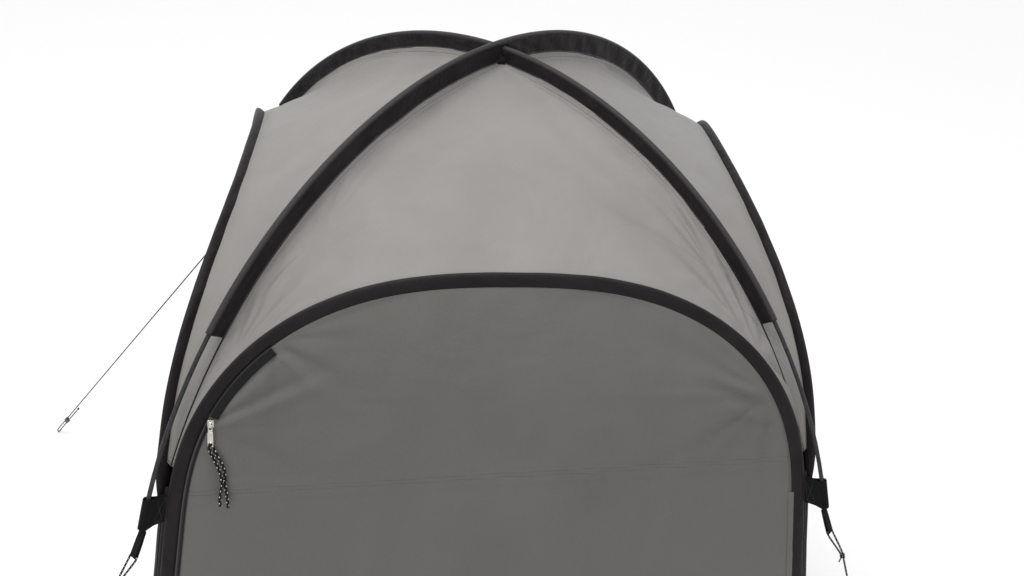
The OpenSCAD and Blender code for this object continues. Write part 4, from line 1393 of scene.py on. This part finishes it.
def zip_puller():
    bail = BAIL_Q / MM
    ring = box_piece("puller_ring", 0, -4.6, bail, (10.2, 12.4, 1.8), 0.8)
    for v in ring.data.vertices:
        v.co.x *= float(np.interp(v.co.y / MM, [-10.8, -8, -4, 1.6], [0.78, 0.86, 1.0, 0.72]))
    cut(ring, hole_at(-3.8, 0.0025, 1.5))
    neck = box_piece("puller_neck", 0, -11.6, bail, (7.0, 5.0, 1.7), 0.6)
    plate = box_piece("puller_plate", 0, -27.5, bail, (12.2, 29, 1.9), 0.8)
    for v in plate.data.vertices:
        v.co.x *= float(np.interp(v.co.y / MM, [-42, -38, -28, -14], [0.80, 1.0, 0.94, 0.82]))
        v.co.z += 0.00045 * math.cos(v.co.x / 0.0061 * 1.5)
    cut(plate, hole_at(-36.5, 0.0032))
    rims = [ring_of("puller_rim", (0, -0.0365, BAIL_Q + 0.0013), (0, 0, 0), 0.0040, 0.0007, (1, 1, 1)),
            ring_of("ring_rim", (0, -0.0038, BAIL_Q + 0.0008), (0, 0, 0), 0.0032, 0.0007, (1, 1.5, 1))]
    made = joined("zip_puller_plate", [ring, neck, plate, *rims])
    to_slider(made)
    dress(made, "puller", "zip_metal", "zip_puller")


zip_slider()
zip_puller()

# ---- hinge edge of the door --------------------------------------------------------------------------


def hinge_cloth():
    """Soft strip that joins the door to its post."""
    s = np.linspace(0.09, 1.40, 90)
    f = np.linspace(0, 1, 17)
    off = 0.006 + 0.015 * f
    x = half_at(s)[:, None] - off
    q = 0.0026 - 0.0018 * f[None] + 0 * x
    points = on_wall(0, x, s[:, None] + 0 * x, q)
    uv = np.stack(np.broadcast_arrays((off * 1.0)[None] - 0.006, s[:, None]), -1)
    piece = grid_piece("door_hinge_cloth", points, uv, SHADED_WALL_CLOTH)
    thicken(piece, 0.0008)
    middle = on_wall(0, half_at(0.7) - 0.0125, 0.7, 0)
    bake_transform(piece)


def post_fold(corner, turn):
    """Black cloth folded into the corner between two bindings, where the walls are sewn together."""
    s = np.linspace(0.022, 1.44, 70)
    path = on_diagonal(turn, math.sqrt(2) * (WALL_Y - s * OUT - 0.0068), s * UP)
    dress(tube("post_fold_" + corner, path, 0.0056, BLACK, 10), "shell", "black_fabric")


hinge_cloth()
for corner, turn in CORNERS.items():
    post_fold(corner, turn)


# ---- finishes of the parts that keep their own shape ----------------------------------------------------

for node, finish in {"pole_lower": ROD, "pole_upper": ROD, "pole_ferrules": STEEL,
                     "pole_tips": PLASTIC, "shock_cords": ELASTIC}.items():
    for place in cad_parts[node].material_slots:
        place.material = finish

# ---- floor, world and light ------------------------------------------------------------------------------

bpy.ops.mesh.primitive_plane_add(size=40, location=(0, 0, -0.0006))
floor = bpy.context.object
floor.name = "studio_floor"
pale, shader = material("pale_floor", Base_Color=(0.93, 0.93, 0.93, 1), Roughness=0.9)
grain = noise(pale, add(pale, "TexCoord").outputs["Object"], 30, 2)
link(pale, ramp(pale, grain, 0.2, 0.8, (0.925, 0.925, 0.925), (0.945, 0.945, 0.945)),
     shader.inputs["Base Color"])
floor.data.materials.append(pale)
world = bpy.data.worlds.new("soft_white")
world.use_nodes = True
world.node_tree.nodes["Background"].inputs["Color"].default_value = (1, 1, 1, 1)
world.node_tree.nodes["Background"].inputs["Strength"].default_value = 1.0
scene.world = world
add_area("top_light", (-0.8, -0.9, 5.2), (0, 0, 1.2), 2.0, 105)
